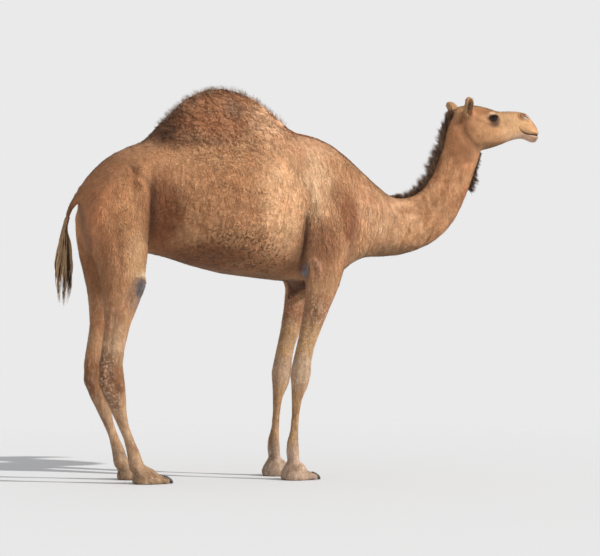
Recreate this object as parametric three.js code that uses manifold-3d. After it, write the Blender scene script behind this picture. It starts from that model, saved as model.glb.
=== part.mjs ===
// A dromedary camel standing square, life size, as a still model.
// Millimetres. +X is forward, +Y is the animal's left, +Z is up, and the soles stand on Z = 0.
// The flesh is modelled whole from lofts, then parted into its named pieces by thin cuts.
import * as THREE from "three";
import { mergeVertices } from "three/addons/utils/BufferGeometryUtils.js";
import Module from "manifold-3d";

const wasm = await Module();
wasm.setup();

// ---------------------------------------------------------------- driving dimensions
const GAP = 0.4; // between pieces that meet
const STANCE = 152; // from the midline to the middle of each foot
const FORE_X = -90; // plumb line of the fore legs
const HIND_X = -1010; // plumb line of the hind cannons
const EYE = { x: 1101, y: 77, z: 1953, radius: 20.5 };
const EAR = { base: [954, 68, 1962], tip: [930, 144, 2062], opening: [0.8, 0.32, 0.0], wall: 4.5 };
const SOLE = 0; // height of the ground
const ANKLE_CUT = 100; // height of the cut above each foot
const KNEE_CUT = 480; // height of the cut below the knee of a fore leg
const HOCK_CUT = 455; // height of the cut below the hock of a hind leg
const ELBOW_CUT = 1030; // height of the cut between a fore leg and the chest
const STIFLE_CUT = 1145; // height of the cut between a hind leg and the haunch
const REACH = 4000; // longer than the whole animal
const SIDES = { left: 1, right: -1 };

// ---------------------------------------------------------------- lofts
// A slice of flesh: a and b are the [x, z] ends of its long line in the side view, y is where that line
// stands, half is how far it swells to each side, and level is how far from a to b it is widest.
// boxy and roof shape its a and b ends: 2 is round, more is squarer, less is sharper.
const DEFAULTS = { y: 0, level: 0.5, boxy: 2.15, roof: 2.15 };

// A smooth function of 0..1 through equally spaced triples.
function through(triples) {
  const points = triples.map((triple) => new THREE.Vector3(...triple));
  const curve = new THREE.CatmullRomCurve3(points, false, "catmullrom", 0.5);
  return (t) => curve.getPoint(t);
}

const power = (value, exponent) => Math.sign(value) * Math.abs(value) ** exponent;

// The ring of points of one slice, turning from its b end.
function ring({ a, b, y, half, level, boxy, roof }, around) {
  const middle = a.clone().lerp(b, level);
  return Array.from({ length: around }, (_, i) => {
    const turn = (2 * Math.PI * i) / around;
    const end = Math.cos(turn) > 0 ? b : a;
    const exponent = 2 / (Math.cos(turn) > 0 ? roof : boxy);
    const point = middle.clone().lerp(end, Math.abs(power(Math.cos(turn), exponent)));
    return new THREE.Vector3(point.x, y + half * power(Math.sin(turn), exponent), point.y);
  });
}

const centreOf = (points) =>
  points.reduce((sum, point) => sum.add(point), new THREE.Vector3()).divideScalar(points.length);

// Turns the faces of a closed geometry to point out, from the sign of its volume.
function facingOut(geometry) {
  const { array } = geometry.index;
  const corner = (i) => new THREE.Vector3().fromBufferAttribute(geometry.attributes.position, array[i]);
  let volume = 0;
  for (let i = 0; i < array.length; i += 3) {
    volume += corner(i).dot(corner(i + 1).cross(corner(i + 2)));
  }
  for (let i = 0; volume < 0 && i < array.length; i += 3) {
    [array[i + 1], array[i + 2]] = [array[i + 2], array[i + 1]];
  }
  return geometry;
}

// Closes a stack of rings into one geometry, with a point at each end.
function closeRings(rings, first, last) {
  const around = rings[0].length;
  const points = [first, ...rings.flat(), last];
  const index = [];
  const at = (r, i) => 1 + r * around + (i % around);
  for (let i = 0; i < around; i++) {
    index.push(0, at(0, i), at(0, i + 1));
    for (let r = 0; r + 1 < rings.length; r++) {
      index.push(at(r, i), at(r + 1, i), at(r + 1, i + 1), at(r, i), at(r + 1, i + 1), at(r, i + 1));
    }
    index.push(points.length - 1, at(rings.length - 1, i + 1), at(rings.length - 1, i));
  }
  return facingOut(new THREE.BufferGeometry().setFromPoints(points).setIndex(index));
}

// The rings of a round cap that bulges out from an edge ring, away from the ring inside it.
function roundCap(edge, inner, length, capRings) {
  const centre = centreOf(edge);
  const outward = centre.clone().sub(centreOf(inner)).normalize();
  const rings = Array.from({ length: length > 0 ? capRings : 0 }, (_, k) => {
    const bend = ((k + 1) / (capRings + 1)) * (Math.PI / 2);
    const rise = outward.clone().multiplyScalar(length * Math.sin(bend));
    return edge.map((p) => p.clone().sub(centre).multiplyScalar(Math.cos(bend)).add(centre).add(rise));
  });
  return { rings, tip: centre.clone().addScaledVector(outward, length) };
}

// A body through named slices, with steps rings of around points. domes are the lengths of the round caps
// past its first and last slice, and grow moves its surface out.
function loft(slices, { steps, around, domes = [0, 0], capRings = 2, grow = 0 }) {
  const full = slices.map((slice) => ({ ...DEFAULTS, ...slice }));
  const aLine = through(full.map((slice) => [slice.a[0], slice.a[1], slice.y]));
  const bLine = through(full.map((slice) => [slice.b[0], slice.b[1], slice.level]));
  const sizes = through(full.map((slice) => [slice.half, slice.boxy, slice.roof]));
  const sliceAt = (t) => {
    const a = new THREE.Vector2(aLine(t).x, aLine(t).y);
    const b = new THREE.Vector2(bLine(t).x, bLine(t).y);
    const outward = b.clone().sub(a).setLength(grow);
    return {
      a: a.sub(outward),
      b: b.add(outward),
      y: aLine(t).z,
      level: bLine(t).z,
      half: sizes(t).x + grow,
      boxy: sizes(t).y,
      roof: sizes(t).z,
    };
  };
  const rings = Array.from({ length: steps + 1 }, (_, k) => ring(sliceAt(k / steps), around));
  const start = roundCap(rings[0], rings[1], domes[0], capRings);
  const end = roundCap(rings[steps], rings[steps - 1], domes[1], capRings);
  return closeRings([...start.rings.reverse(), ...rings, ...end.rings], start.tip, end.tip);
}

// ---------------------------------------------------------------- joining and cutting
function solid(geometry) {
  const bare = geometry.clone();
  bare.deleteAttribute("normal");
  bare.deleteAttribute("uv");
  const merged = mergeVertices(bare, 1e-3);
  const vertProperties = new Float32Array(merged.attributes.position.array);
  const triVerts = new Uint32Array(merged.index.array);
  return new wasm.Manifold(new wasm.Mesh({ numProp: 3, vertProperties, triVerts }));
}

function geometryOf(manifold) {
  const { vertProperties, triVerts } = manifold.getMesh();
  return new THREE.BufferGeometry()
    .setAttribute("position", new THREE.BufferAttribute(vertProperties, 3))
    .setIndex(new THREE.BufferAttribute(triVerts, 1));
}

const joined = (solids) => solids.reduce((all, one) => all.add(one));

// The same geometry on the left side of the midline or on the right.
const onSide = (geometry, side) => facingOut(geometry.clone().scale(1, side, 1));

// A box between two corners, grown by a margin.
function box(low, high, margin = 0) {
  const size = high.map((value, i) => value - low[i] + 2 * margin);
  const centre = high.map((value, i) => (value + low[i]) / 2);
  return new THREE.BoxGeometry(...size).translate(...centre);
}

// Everything ahead of a plane across the body, through the [x, z] points of its under and upper edges.
function ahead(under, upper, margin = 0) {
  const run = [upper[0] - under[0], upper[1] - under[1]];
  return new THREE.BoxGeometry(REACH, REACH, REACH)
    .translate(REACH / 2 - margin, 0, 0)
    .rotateY(Math.atan2(run[0], run[1]))
    .translate(under[0], 0, under[1]);
}

// ---------------------------------------------------------------- trunk and neck
// One run of slices from the rump to the head end of the neck. a is the belly or throat side, b the back.
const AXIAL = [
  { name: "rump", a: [-1186, 1280], b: [-1190, 1545], half: 135 },
  { name: "pin bones", a: [-1152, 1195], b: [-1150, 1597], half: 184, roof: 2 },
  { name: "croup", a: [-1060, 1160], b: [-1050, 1694], half: 204, level: 0.55, roof: 1.95 },
  { name: "hips", a: [-950, 1165], b: [-945, 1754], half: 224, level: 0.6, roof: 1.95 },
  { name: "flank", a: [-840, 1190], b: [-840, 1784], half: 240, level: 0.52 },
  { name: "loin", a: [-680, 1143], b: [-690, 1802], half: 292, level: 0.46 },
  { name: "barrel", a: [-470, 1088], b: [-480, 1820], half: 330, level: 0.44 },
  { name: "ribs", a: [-265, 1062], b: [-270, 1838], half: 320, level: 0.45 },
  { name: "girth", a: [-80, 1044], b: [-90, 1852], half: 274, level: 0.45 },
  { name: "withers", a: [70, 1034], b: [50, 1838], half: 226, level: 0.46 },
  { name: "shoulder", a: [180, 1056], b: [175, 1790], half: 196, level: 0.46 },
  { name: "breast", a: [262, 1120], b: [294, 1700], half: 158, level: 0.46 },
  { name: "neck root", a: [345, 1172], b: [402, 1608], half: 124 },
  { name: "lower neck", a: [463, 1180], b: [505, 1528], half: 104 },
  { name: "neck bottom", a: [595, 1194], b: [575, 1513], half: 94 },
  { name: "neck rise", a: [737, 1243], b: [632, 1520], half: 86 },
  { name: "neck bend", a: [841, 1314], b: [684, 1547], half: 79 },
  { name: "mid neck", a: [915, 1402], b: [727, 1590], half: 73 },
  { name: "upper neck", a: [974, 1522], b: [767, 1648], half: 69 },
  { name: "high neck", a: [1016, 1624], b: [795, 1715], half: 66 },
  { name: "nape", a: [1045, 1708], b: [822, 1792], half: 66 },
  { name: "throat", a: [1062, 1770], b: [843, 1865], half: 68 },
  { name: "poll", a: [1048, 1832], b: [862, 1930], half: 62 },
  { name: "under the ears", a: [1010, 1890], b: [908, 1984], half: 44 },
];

// The hump stands on the back and narrows to its crest. b follows the crest to the tips of its short hair.
const HUMP = [
  { name: "rear foot", a: [-885, 1440], b: [-885, 1768], half: 165 },
  { name: "rear slope", a: [-800, 1430], b: [-800, 1860], half: 212 },
  { name: "rear brow", a: [-690, 1400], b: [-690, 1974], half: 238 },
  { name: "rear crest", a: [-570, 1380], b: [-570, 2054], half: 256 },
  { name: "top", a: [-440, 1380], b: [-440, 2076], half: 263 },
  { name: "fore crest", a: [-320, 1380], b: [-320, 2052], half: 262 },
  { name: "fore brow", a: [-205, 1400], b: [-205, 1986], half: 252 },
  { name: "fore slope", a: [-105, 1430], b: [-105, 1900], half: 234 },
  { name: "fore foot", a: [-20, 1440], b: [-20, 1838], half: 195 },
].map((slice) => ({ ...slice, level: 0.27, roof: 1.6 }));

const CHEST_PAD = [
  { name: "top", a: [-66, 1090], b: [92, 1090], half: 70 },
  { name: "wall", a: [-62, 1035], b: [86, 1035], half: 66 },
  { name: "edge", a: [-54, 1016], b: [76, 1016], half: 58 },
  { name: "face", a: [-42, 1008], b: [62, 1008], half: 46 },
];

const TAIL = [
  { name: "root", a: [-1175, 1475], b: [-1150, 1560], half: 46 },
  { name: "dock", a: [-1216, 1440], b: [-1232, 1512], half: 34 },
  { name: "mid dock", a: [-1250, 1402], b: [-1272, 1430], half: 21 },
  { name: "dock end", a: [-1268, 1342], b: [-1296, 1350], half: 15 },
];

// ---------------------------------------------------------------- head
// a follows the underside from the jaw angle to the chin, b the poll, the forehead and the nose.
const HEAD = [
  { name: "behind the ears", a: [930, 1880], b: [893, 1994], half: 55 },
  { name: "ears", a: [958, 1834], b: [922, 2018], half: 72, level: 0.6 },
  { name: "jaw angle", a: [1000, 1797], b: [972, 2030], half: 81, level: 0.6 },
  { name: "cheek", a: [1045, 1779], b: [1030, 2031], half: 86, level: 0.6 },
  { name: "temple", a: [1085, 1781], b: [1078, 2022], half: 92, level: 0.68 },
  { name: "orbit", a: [1128, 1793], b: [1122, 2010], half: 89, level: 0.72 },
  { name: "face", a: [1172, 1807], b: [1168, 2001], half: 69, level: 0.6 },
  { name: "nose bridge", a: [1220, 1827], b: [1220, 2005], half: 56, level: 0.55 },
  { name: "muzzle", a: [1268, 1843], b: [1270, 2007], half: 51, level: 0.55 },
  { name: "nostrils", a: [1312, 1850], b: [1318, 2002], half: 51, level: 0.6 },
  { name: "nose tip", a: [1346, 1843], b: [1351, 1983], half: 48, level: 0.55 },
  { name: "lips", a: [1374, 1829], b: [1381, 1952], half: 43 },
  { name: "front of the lips", a: [1396, 1829], b: [1400, 1928], half: 36 },
].map((slice) => ({ boxy: 2.2, roof: 2.3, ...slice }));

// Where the upper edge of the lower jaw's piece runs: along the mouth, then down to the jaw's angle.
const MOUTH = { front: [1440, 1868], bend: [1372, 1879], corner: [1290, 1914], angle: [1075, 1765] };

// The lower jaw's side view, closed well below the chin.
function jawRegion(margin) {
  const { front, bend, corner, angle } = MOUTH;
  const below = 120;
  const outline = [front, bend, corner, angle].map(([x, z]) => new THREE.Vector2(x, z + margin));
  outline.push(new THREE.Vector2(angle[0], angle[1] - below), new THREE.Vector2(front[0], angle[1] - below));
  const width = 2 * (EYE.y + margin);
  return new THREE.ExtrudeGeometry(new THREE.Shape(outline), { depth: width, bevelEnabled: false })
    .translate(0, 0, -width / 2)
    .rotateX(Math.PI / 2);
}

function eyeball(side, margin = 0) {
  return new THREE.SphereGeometry(EYE.radius + margin, 12, 7).translate(EYE.x, side * EYE.y, EYE.z);
}

// One shell of an ear, from a fraction of its height to its tip. shrink thins it and shift moves it along
// the opening.
function earShell({ shrink, shift, from }) {
  const rows = [
    { height: -0.1, wide: 17, deep: 20 },
    { height: 0.12, wide: 22, deep: 23 },
    { height: 0.36, wide: 27, deep: 23 },
    { height: 0.6, wide: 29, deep: 21 },
    { height: 0.82, wide: 24, deep: 16 },
    { height: 0.97, wide: 11, deep: 8 },
  ];
  const base = new THREE.Vector3(...EAR.base);
  const along = new THREE.Vector3(...EAR.tip).sub(base);
  const across = along.clone().cross(new THREE.Vector3(...EAR.opening)).normalize();
  const depth = across.clone().cross(along).normalize();
  const sizes = through(rows.map((row) => [row.height, row.wide, row.deep]));
  const [steps, around] = [5, 8];
  const rings = Array.from({ length: steps + 1 }, (_, k) => {
    const size = sizes(from + ((1 - from) * k) / steps);
    const centre = base.clone().addScaledVector(along, size.x).addScaledVector(depth, shift);
    return Array.from({ length: around }, (_, i) => {
      const turn = (2 * Math.PI * i) / around;
      return centre
        .clone()
        .addScaledVector(across, (size.y - shrink) * Math.cos(turn))
        .addScaledVector(depth, (size.z - shrink / 2) * Math.sin(turn));
    });
  });
  const root = centreOf(rings[0]).addScaledVector(along, -0.1);
  const tip = centreOf(rings[steps]).addScaledVector(along, 0.04);
  return closeRings(rings, root, tip);
}

function ear(side) {
  const outer = solid(onSide(earShell({ shrink: 0, shift: 0, from: 0 }), side));
  const hollow = solid(onSide(earShell({ shrink: EAR.wall, shift: 2 * EAR.wall, from: 0.24 }), side));
  return outer.subtract(hollow);
}

// ---------------------------------------------------------------- legs
// Level slices at height z, with their reach behind and in front of the leg's plumb line.
function legSlices(plumb, rows) {
  return rows.map(({ name, z, back, front, half, y = STANCE, square = 2.15 }) => ({
    name,
    a: [plumb - back, z],
    b: [plumb + front, z],
    y,
    half,
    boxy: square,
    roof: square,
  }));
}

// Reaches behind and ahead of the plumb line, at the sole and at the cut above the pad.
const FORE_FOOT = { plumb: FORE_X, heel: 76, toe: 126, half: 88, ankle: { back: 35, front: 30, half: 41 } };
const HIND_FOOT = { plumb: HIND_X, heel: -33, toe: 238, half: 78, ankle: { back: -16, front: 102, half: 38 } };

const FORE_LEG = legSlices(FORE_X, [
  { name: "blade top", z: 1680, back: -50, front: 180, half: 44, y: 112 },
  { name: "blade", z: 1600, back: -28, front: 255, half: 62, y: 147, square: 2.4 },
  { name: "blade foot", z: 1500, back: -14, front: 310, half: 77, y: 158, square: 2.4 },
  { name: "shoulder point", z: 1350, back: -8, front: 330, half: 87, y: 160, square: 2.4 },
  { name: "upper arm", z: 1215, back: -14, front: 315, half: 84, y: 164 },
  { name: "elbow", z: 1110, back: -34, front: 284, half: 74, y: 166 },
  { name: "forearm top", z: 1010, back: -62, front: 250, half: 62, y: 164 },
  { name: "forearm", z: 900, back: -50, front: 200, half: 55, y: 160 },
  { name: "mid forearm", z: 790, back: -32, front: 152, half: 49, y: 156 },
  { name: "lower forearm", z: 700, back: -12, front: 116, half: 46, y: 154 },
  { name: "knee top", z: 620, back: 7, front: 98, half: 49 },
  { name: "knee", z: 560, back: 20, front: 99, half: 52 },
  { name: "knee foot", z: 490, back: 16, front: 80, half: 43 },
  { name: "upper cannon", z: 425, back: 13, front: 47, half: 32 },
  { name: "mid cannon", z: 345, back: 14, front: 32, half: 26 },
  { name: "lower cannon", z: 258, back: 22, front: 26, half: 27 },
  { name: "fetlock top", z: 198, back: 40, front: 26, half: 36 },
  { name: "fetlock", z: 145, back: 44, front: 30, half: 42 },
  { name: "pastern", z: ANKLE_CUT + GAP, ...FORE_FOOT.ankle },
]);

const HIND_LEG = legSlices(HIND_X, [
  { name: "hip", z: 1660, back: 10, front: 70, half: 44, y: 92 },
  { name: "croup side", z: 1590, back: 88, front: 106, half: 72, y: 114, square: 2.3 },
  { name: "haunch", z: 1505, back: 152, front: 122, half: 88, y: 124, square: 2.3 },
  { name: "rump side", z: 1390, back: 196, front: 130, half: 100, y: 130, square: 2.3 },
  { name: "thigh", z: 1270, back: 192, front: 126, half: 94, y: 138 },
  { name: "lower thigh", z: 1170, back: 176, front: 118, half: 86, y: 144 },
  { name: "above stifle", z: 1085, back: 150, front: 108, half: 77, y: 149 },
  { name: "stifle", z: 1005, back: 130, front: 108, half: 70, y: 153 },
  { name: "below stifle", z: 925, back: 120, front: 80, half: 61, y: 154 },
  { name: "gaskin", z: 820, back: 112, front: 32, half: 51, y: 154 },
  { name: "lower gaskin", z: 700, back: 128, front: 2, half: 42, y: 154 },
  { name: "hock top", z: 610, back: 142, front: -8, half: 41 },
  { name: "hock", z: 520, back: 144, front: 4, half: 43 },
  { name: "hock foot", z: 440, back: 112, front: 10, half: 38 },
  { name: "upper cannon", z: 370, back: 76, front: 12, half: 31 },
  { name: "mid cannon", z: 300, back: 42, front: 24, half: 27 },
  { name: "lower cannon", z: 230, back: 10, front: 50, half: 27 },
  { name: "fetlock", z: 165, back: -6, front: 80, half: 36 },
  { name: "pastern", z: ANKLE_CUT + GAP, ...HIND_FOOT.ankle },
]);

const mix = THREE.MathUtils.lerp;

// A broad pad. Its slices run level from the pastern down to the flat sole.
function pad({ plumb, heel, toe, half, ankle }) {
  const length = heel + toe;
  const slices = legSlices(plumb, [
    { z: ANKLE_CUT, ...ankle },
    { z: 76, back: mix(ankle.back, heel, 0.35), front: mix(ankle.front, toe, 0.35), half: 0.68 * half },
    { z: 48, back: heel - 0.05 * length, front: toe - 0.27 * length, half: 0.86 * half },
    { z: 22, back: heel - 0.01 * length, front: toe - 0.13 * length, half },
    { z: SOLE, back: heel - 0.03 * length, front: toe - 0.12 * length, half: 0.96 * half },
  ]);
  return loft(slices, { steps: 4, around: 12 });
}

// One toe of a pad, pointing forward and aside: 1 is the outer toe, -1 the inner one.
function toePad({ plumb, toe, half }, aside) {
  const slices = [
    { x: toe - 150, top: 54, half: 0.42 * half, out: 0.3 },
    { x: toe - 95, top: 57, half: 0.44 * half, out: 0.42 },
    { x: toe - 48, top: 47, half: 0.42 * half, out: 0.47 },
    { x: toe - 14, top: 34, half: 0.32 * half, out: 0.5 },
  ].map(({ x, top, half: wide, out }) => ({
    a: [plumb + x, SOLE],
    b: [plumb + x, top],
    y: STANCE + aside * half * out,
    half: wide,
    level: 0.3,
    boxy: 3.2,
  }));
  return loft(slices, { steps: 3, around: 8, domes: [0, 9], capRings: 0 });
}

// The nail over the end of a toe: a short hooked wedge.
function nail({ plumb, toe, half }, aside, grow = 0) {
  const slices = [
    { x: toe - 27, low: 15, top: 40, half: 15 },
    { x: toe - 12, low: 9, top: 35, half: 14 },
    { x: toe + 2, low: 5, top: 24, half: 10 },
  ].map(({ x, low, top, half: wide }) => ({
    a: [plumb + x, low],
    b: [plumb + x, top],
    y: STANCE + aside * half * 0.5,
    half: wide,
  }));
  return loft(slices, { steps: 2, around: 7, domes: [grow, 7 + grow], capRings: 0, grow });
}

// ---------------------------------------------------------------- long hair
// Each lock of long hair is one closed body: a lies in the flesh, b is the tips.
const MANE = [
  { name: "behind the ears", a: [886, 1950], b: [852, 1986], half: 16 },
  { name: "nape top", a: [862, 1880], b: [813, 1925], half: 22 },
  { name: "nape", a: [850, 1790], b: [776, 1830], half: 24 },
  { name: "upper crest", a: [815, 1690], b: [745, 1730], half: 24 },
  { name: "mid crest", a: [770, 1595], b: [700, 1645], half: 22 },
  { name: "lower crest", a: [705, 1520], b: [642, 1568], half: 19 },
  { name: "crest foot", a: [620, 1490], b: [585, 1532], half: 15 },
  { name: "fading out", a: [540, 1490], b: [528, 1526], half: 9 },
];

const BEARD = [
  { name: "under the jaw", a: [1045, 1758], b: [1067, 1750], half: 11 },
  { name: "throat", a: [1022, 1694], b: [1054, 1680], half: 17 },
  { name: "beard", a: [998, 1620], b: [1044, 1602], half: 20 },
  { name: "beard tips", a: [984, 1574], b: [1026, 1560], half: 10 },
];

const TUFT = [
  { name: "top", a: [-1268, 1335], b: [-1300, 1335], half: 14 },
  { name: "shoulder", a: [-1258, 1260], b: [-1318, 1260], half: 28 },
  { name: "full", a: [-1246, 1130], b: [-1338, 1130], half: 42 },
  { name: "thinning", a: [-1252, 1020], b: [-1334, 1020], half: 34 },
  { name: "tips", a: [-1276, 912], b: [-1320, 912], half: 16 },
];

// ---------------------------------------------------------------- materials
const matte = (color, roughness = 0.9) => new THREE.MeshStandardMaterial({ color, roughness, metalness: 0 });
const HIDE = matte(0xa9764c);
const HUMP_WOOL = matte(0x94663f);
const MUZZLE = matte(0xc08d60);
const SHANK = matte(0x9b6c47);
const DARK_HAIR = matte(0x3c2a1f, 0.95);
const TAIL_HAIR = matte(0x6b5640, 0.95);
const CALLUS = matte(0x5b4b40, 0.8);
const HORN = matte(0x2c241f, 0.5);
const EYE_DARK = matte(0x150d08, 0.1);

// ---------------------------------------------------------------- assembly
const group = new THREE.Group();

function add(name, piece, material) {
  const mesh = new THREE.Mesh(geometryOf(piece), material);
  mesh.name = name;
  group.add(mesh);
}

// The whole flesh as one solid.
const trunkAndNeck = (grow) => loft(AXIAL, { steps: 30, around: 18, domes: [22, 6], capRings: 1, grow });
const skull = (grow) => loft(HEAD, { steps: 17, around: 16, domes: [10, 17], grow });
const dock = (grow) => loft(TAIL, { steps: 5, around: 8, grow });
const chestPad = loft(CHEST_PAD, { steps: 3, around: 12 });
const flesh = [trunkAndNeck(0), skull(0), loft(HUMP, { steps: 12, around: 18, domes: [10, 10], capRings: 1 })];
for (const side of Object.values(SIDES)) {
  flesh.push(onSide(loft(FORE_LEG, { steps: 18, around: 11 }), side));
  flesh.push(onSide(loft(HIND_LEG, { steps: 18, around: 11 }), side));
}
let body = joined(flesh.map(solid));

// Takes from the body what lies in a region, and leaves a thin cut round it.
function part(name, material, region) {
  add(name, body.intersect(solid(region(0))), material);
  body = body.subtract(solid(region(GAP)));
}

// What grows out of the flesh: it keeps its whole shape outside the flesh grown by the gap.
const grownFlesh = joined([trunkAndNeck(GAP), skull(GAP)].map(solid));
add("tail", solid(dock(0)).subtract(grownFlesh), HIDE);
add("tail_tuft", solid(loft(TUFT, { steps: 6, around: 8 })).subtract(solid(dock(GAP))), TAIL_HAIR);
add("mane", solid(loft(MANE, { steps: 10, around: 7 })).subtract(grownFlesh), DARK_HAIR);
add("beard", solid(loft(BEARD, { steps: 4, around: 7 })).subtract(grownFlesh), DARK_HAIR);
add("chest_pad", solid(chestPad).subtract(grownFlesh), CALLUS);

for (const [name, side] of Object.entries(SIDES)) {
  add(`ear_${name}`, ear(side).subtract(grownFlesh), HIDE);
  add(`eye_${name}`, solid(eyeball(side)), EYE_DARK);
  body = body.subtract(solid(eyeball(side, GAP)));
  for (const [limb, foot] of Object.entries({ fore: FORE_FOOT, hind: HIND_FOOT })) {
    const toes = Object.entries({ outer: 1, inner: -1 });
    let whole = joined([pad(foot), ...toes.map(([, aside]) => toePad(foot, aside))].map(solid));
    for (const [place, aside] of toes) {
      whole = whole.subtract(solid(nail(foot, aside, GAP)));
      add(`${limb}_${name}_nail_${place}`, solid(onSide(nail(foot, aside), side)), HORN);
    }
    add(`${limb}_${name}_foot`, solid(onSide(geometryOf(whole), side)), SHANK);
  }
}

// The flesh, parted from its far ends inward.
part("lower_jaw", MUZZLE, jawRegion);
part("head", HIDE, (margin) => ahead([1060, 1762], [850, 1890], margin));
part("neck_upper", HIDE, (margin) => ahead([974, 1522], [767, 1648], margin));
part("neck_middle", HIDE, (margin) => ahead([841, 1314], [684, 1547], margin));
part("neck_lower", HIDE, (margin) => ahead([590, 1190], [572, 1513], margin));
part("neck_root", HIDE, (margin) => ahead([285, 1130], [345, 1660], margin));
for (const [name, side] of Object.entries(SIDES)) {
  const limbs = [
    { limb: "fore", from: -600, to: 400, lower: KNEE_CUT, upper: ELBOW_CUT, thick: "forearm" },
    { limb: "hind", from: -1500, to: -800, lower: HOCK_CUT, upper: STIFLE_CUT, thick: "gaskin" },
  ];
  for (const { limb, from, to, lower, upper, thick } of limbs) {
    const below = (height) => (margin) => onSide(box([from, 1, SOLE], [to, REACH, height], margin), side);
    part(`${limb}_${name}_cannon`, SHANK, below(lower));
    part(`${limb}_${name}_${thick}`, HIDE, below(upper));
  }
}
part("hump", HUMP_WOOL, (margin) => ahead([0, 1856], [-1000, 1773], margin));
add("trunk", body, HIDE);

// The origin stands on the ground under the middle of the whole animal.
const extent = new THREE.Box3().setFromObject(group);
group.position.x = -(extent.min.x + extent.max.x) / 2;

export default group;
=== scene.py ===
"""A dromedary camel: its skin, coat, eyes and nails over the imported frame.

Points in this file are in the CAD source's own millimetres (+X forward, +Y the animal's left, +Z up).
row() turns them into the frame's metres.
"""

import math

import bmesh
import bpy
import numpy as np
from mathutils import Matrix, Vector


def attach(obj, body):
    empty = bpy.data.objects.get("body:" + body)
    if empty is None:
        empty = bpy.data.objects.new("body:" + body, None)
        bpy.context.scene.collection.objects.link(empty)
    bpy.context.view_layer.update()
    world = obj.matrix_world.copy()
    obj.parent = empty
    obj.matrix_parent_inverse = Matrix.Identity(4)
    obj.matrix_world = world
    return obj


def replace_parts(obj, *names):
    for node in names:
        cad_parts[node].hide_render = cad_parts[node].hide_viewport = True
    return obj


# ---------------------------------------------------------------- measures
SHIFT = 37.46  # the source's X less the row frame's, mm
VOXEL = 6.5  # grain of the body's skin
EAR_VOXEL = 1.6  # grain of the ears
EYE = (1101.0, 77.0, 1953.0)  # centre of the eyeball; the other one is its mirror image
EYE_RADIUS = 20.5
SEED = 20

FLESH = ["head", "lower_jaw", "neck_upper", "neck_middle", "neck_lower", "neck_root", "trunk", "hump"]
FLESH += ["chest_pad", "tail"]
LIMBS = {"fore": ["forearm", "cannon", "foot"], "hind": ["gaskin", "cannon", "foot"]}
for _limb, _parts in LIMBS.items():
    FLESH += [f"{_limb}_{_side}_{_part}" for _side in ("left", "right") for _part in _parts]
EARS = ["ear_left", "ear_right"]
NAILS = [
    f"{limb}_{side}_nail_{place}"
    for limb in LIMBS
    for side in ("left", "right")
    for place in ("outer", "inner")
]

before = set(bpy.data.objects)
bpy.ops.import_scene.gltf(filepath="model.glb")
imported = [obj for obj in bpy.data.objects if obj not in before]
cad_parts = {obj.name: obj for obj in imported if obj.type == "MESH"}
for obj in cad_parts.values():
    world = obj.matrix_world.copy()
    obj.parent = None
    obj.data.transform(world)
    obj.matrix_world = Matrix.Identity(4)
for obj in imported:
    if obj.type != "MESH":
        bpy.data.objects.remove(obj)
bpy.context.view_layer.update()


def row(points):
    """Source millimetres to row-frame metres."""
    out = np.array(points, float).reshape(-1, 3) / 1000.0
    out[:, 0] -= SHIFT / 1000.0
    return out


def cell(text):
    """A word, a number, a point, or a list of points parted by commas."""
    if text.strip()[0].isalpha():
        return text.strip()
    points = [tuple(float(value) for value in point.split()) for point in text.split(",")]
    if len(points) > 1:
        return points
    return points[0] if len(points[0]) > 1 else points[0][0]


def rows(text):
    """A table from text: its rows are parted by semicolons, and the cells of a row by bars."""
    return [[cell(part) for part in line.split("|")] for line in text.split(";")]


# ---------------------------------------------------------------- small mathematics
def step(low, high, value):
    """0 below low, 1 above high, smooth in between. low may be the larger one."""
    t = np.clip((value - low) / (high - low), 0.0, 1.0)
    return t * t * (3.0 - 2.0 * t)


def mirrored(points):
    out = np.array(points, float)
    out[:, 1] = np.abs(out[:, 1])
    return out


def unit(vectors):
    return vectors / np.maximum(np.linalg.norm(vectors, axis=1, keepdims=True), 1e-9)


def bell(distance, width):
    """1 at no distance, and fading over about width on both sides."""
    return np.exp(-((distance / width) ** 2))


def blend(value, target, amount):
    """Each row of value, moved towards target by that row's amount."""
    return value + (np.array(target) - value) * np.asarray(amount)[:, None]


def lattice(spots, seed):
    """A random value in 0..1 for each whole-numbered spot."""
    h = spots[:, 0] * 374761393 + spots[:, 1] * 668265263 + spots[:, 2] * 2147483647 + seed * 144269
    h = (h ^ (h >> 13)) * 1274126177
    h = (h ^ (h >> 16)) & 0xFFFFFF
    return h / float(0xFFFFFF)


def noise(points, size, seed=0):
    """Smooth random values in 0..1 that change over about size millimetres."""
    q = points / size
    base = np.floor(q).astype(np.int64)
    f = q - base
    f = f * f * (3 - 2 * f)
    total = np.zeros(len(points))
    for corner in range(8):
        off = np.array([corner & 1, corner >> 1 & 1, corner >> 2 & 1])
        w = np.prod(np.where(off, f, 1 - f), axis=1)
        total += w * lattice(base + off, seed)
    return total


def fractal(points, size, seed=0):
    """Three sizes of noise together, in 0..1."""
    return sum(noise(points, size / 2**k, seed + 7 * k) * s for k, s in enumerate((0.57, 0.29, 0.14)))


def ellipsoid(points, centre, radii):
    """Distance from the centre, 1 on the ellipsoid."""
    return np.linalg.norm((mirrored(points) - np.array(centre)) / np.array(radii), axis=1)


def near(points, centre, radii, edge=0.5):
    """1 inside an ellipsoid and 0 outside it, with a soft edge. Both sides of the animal count."""
    return step(1.0 + edge, 1.0 - edge, ellipsoid(points, centre, radii))


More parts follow.
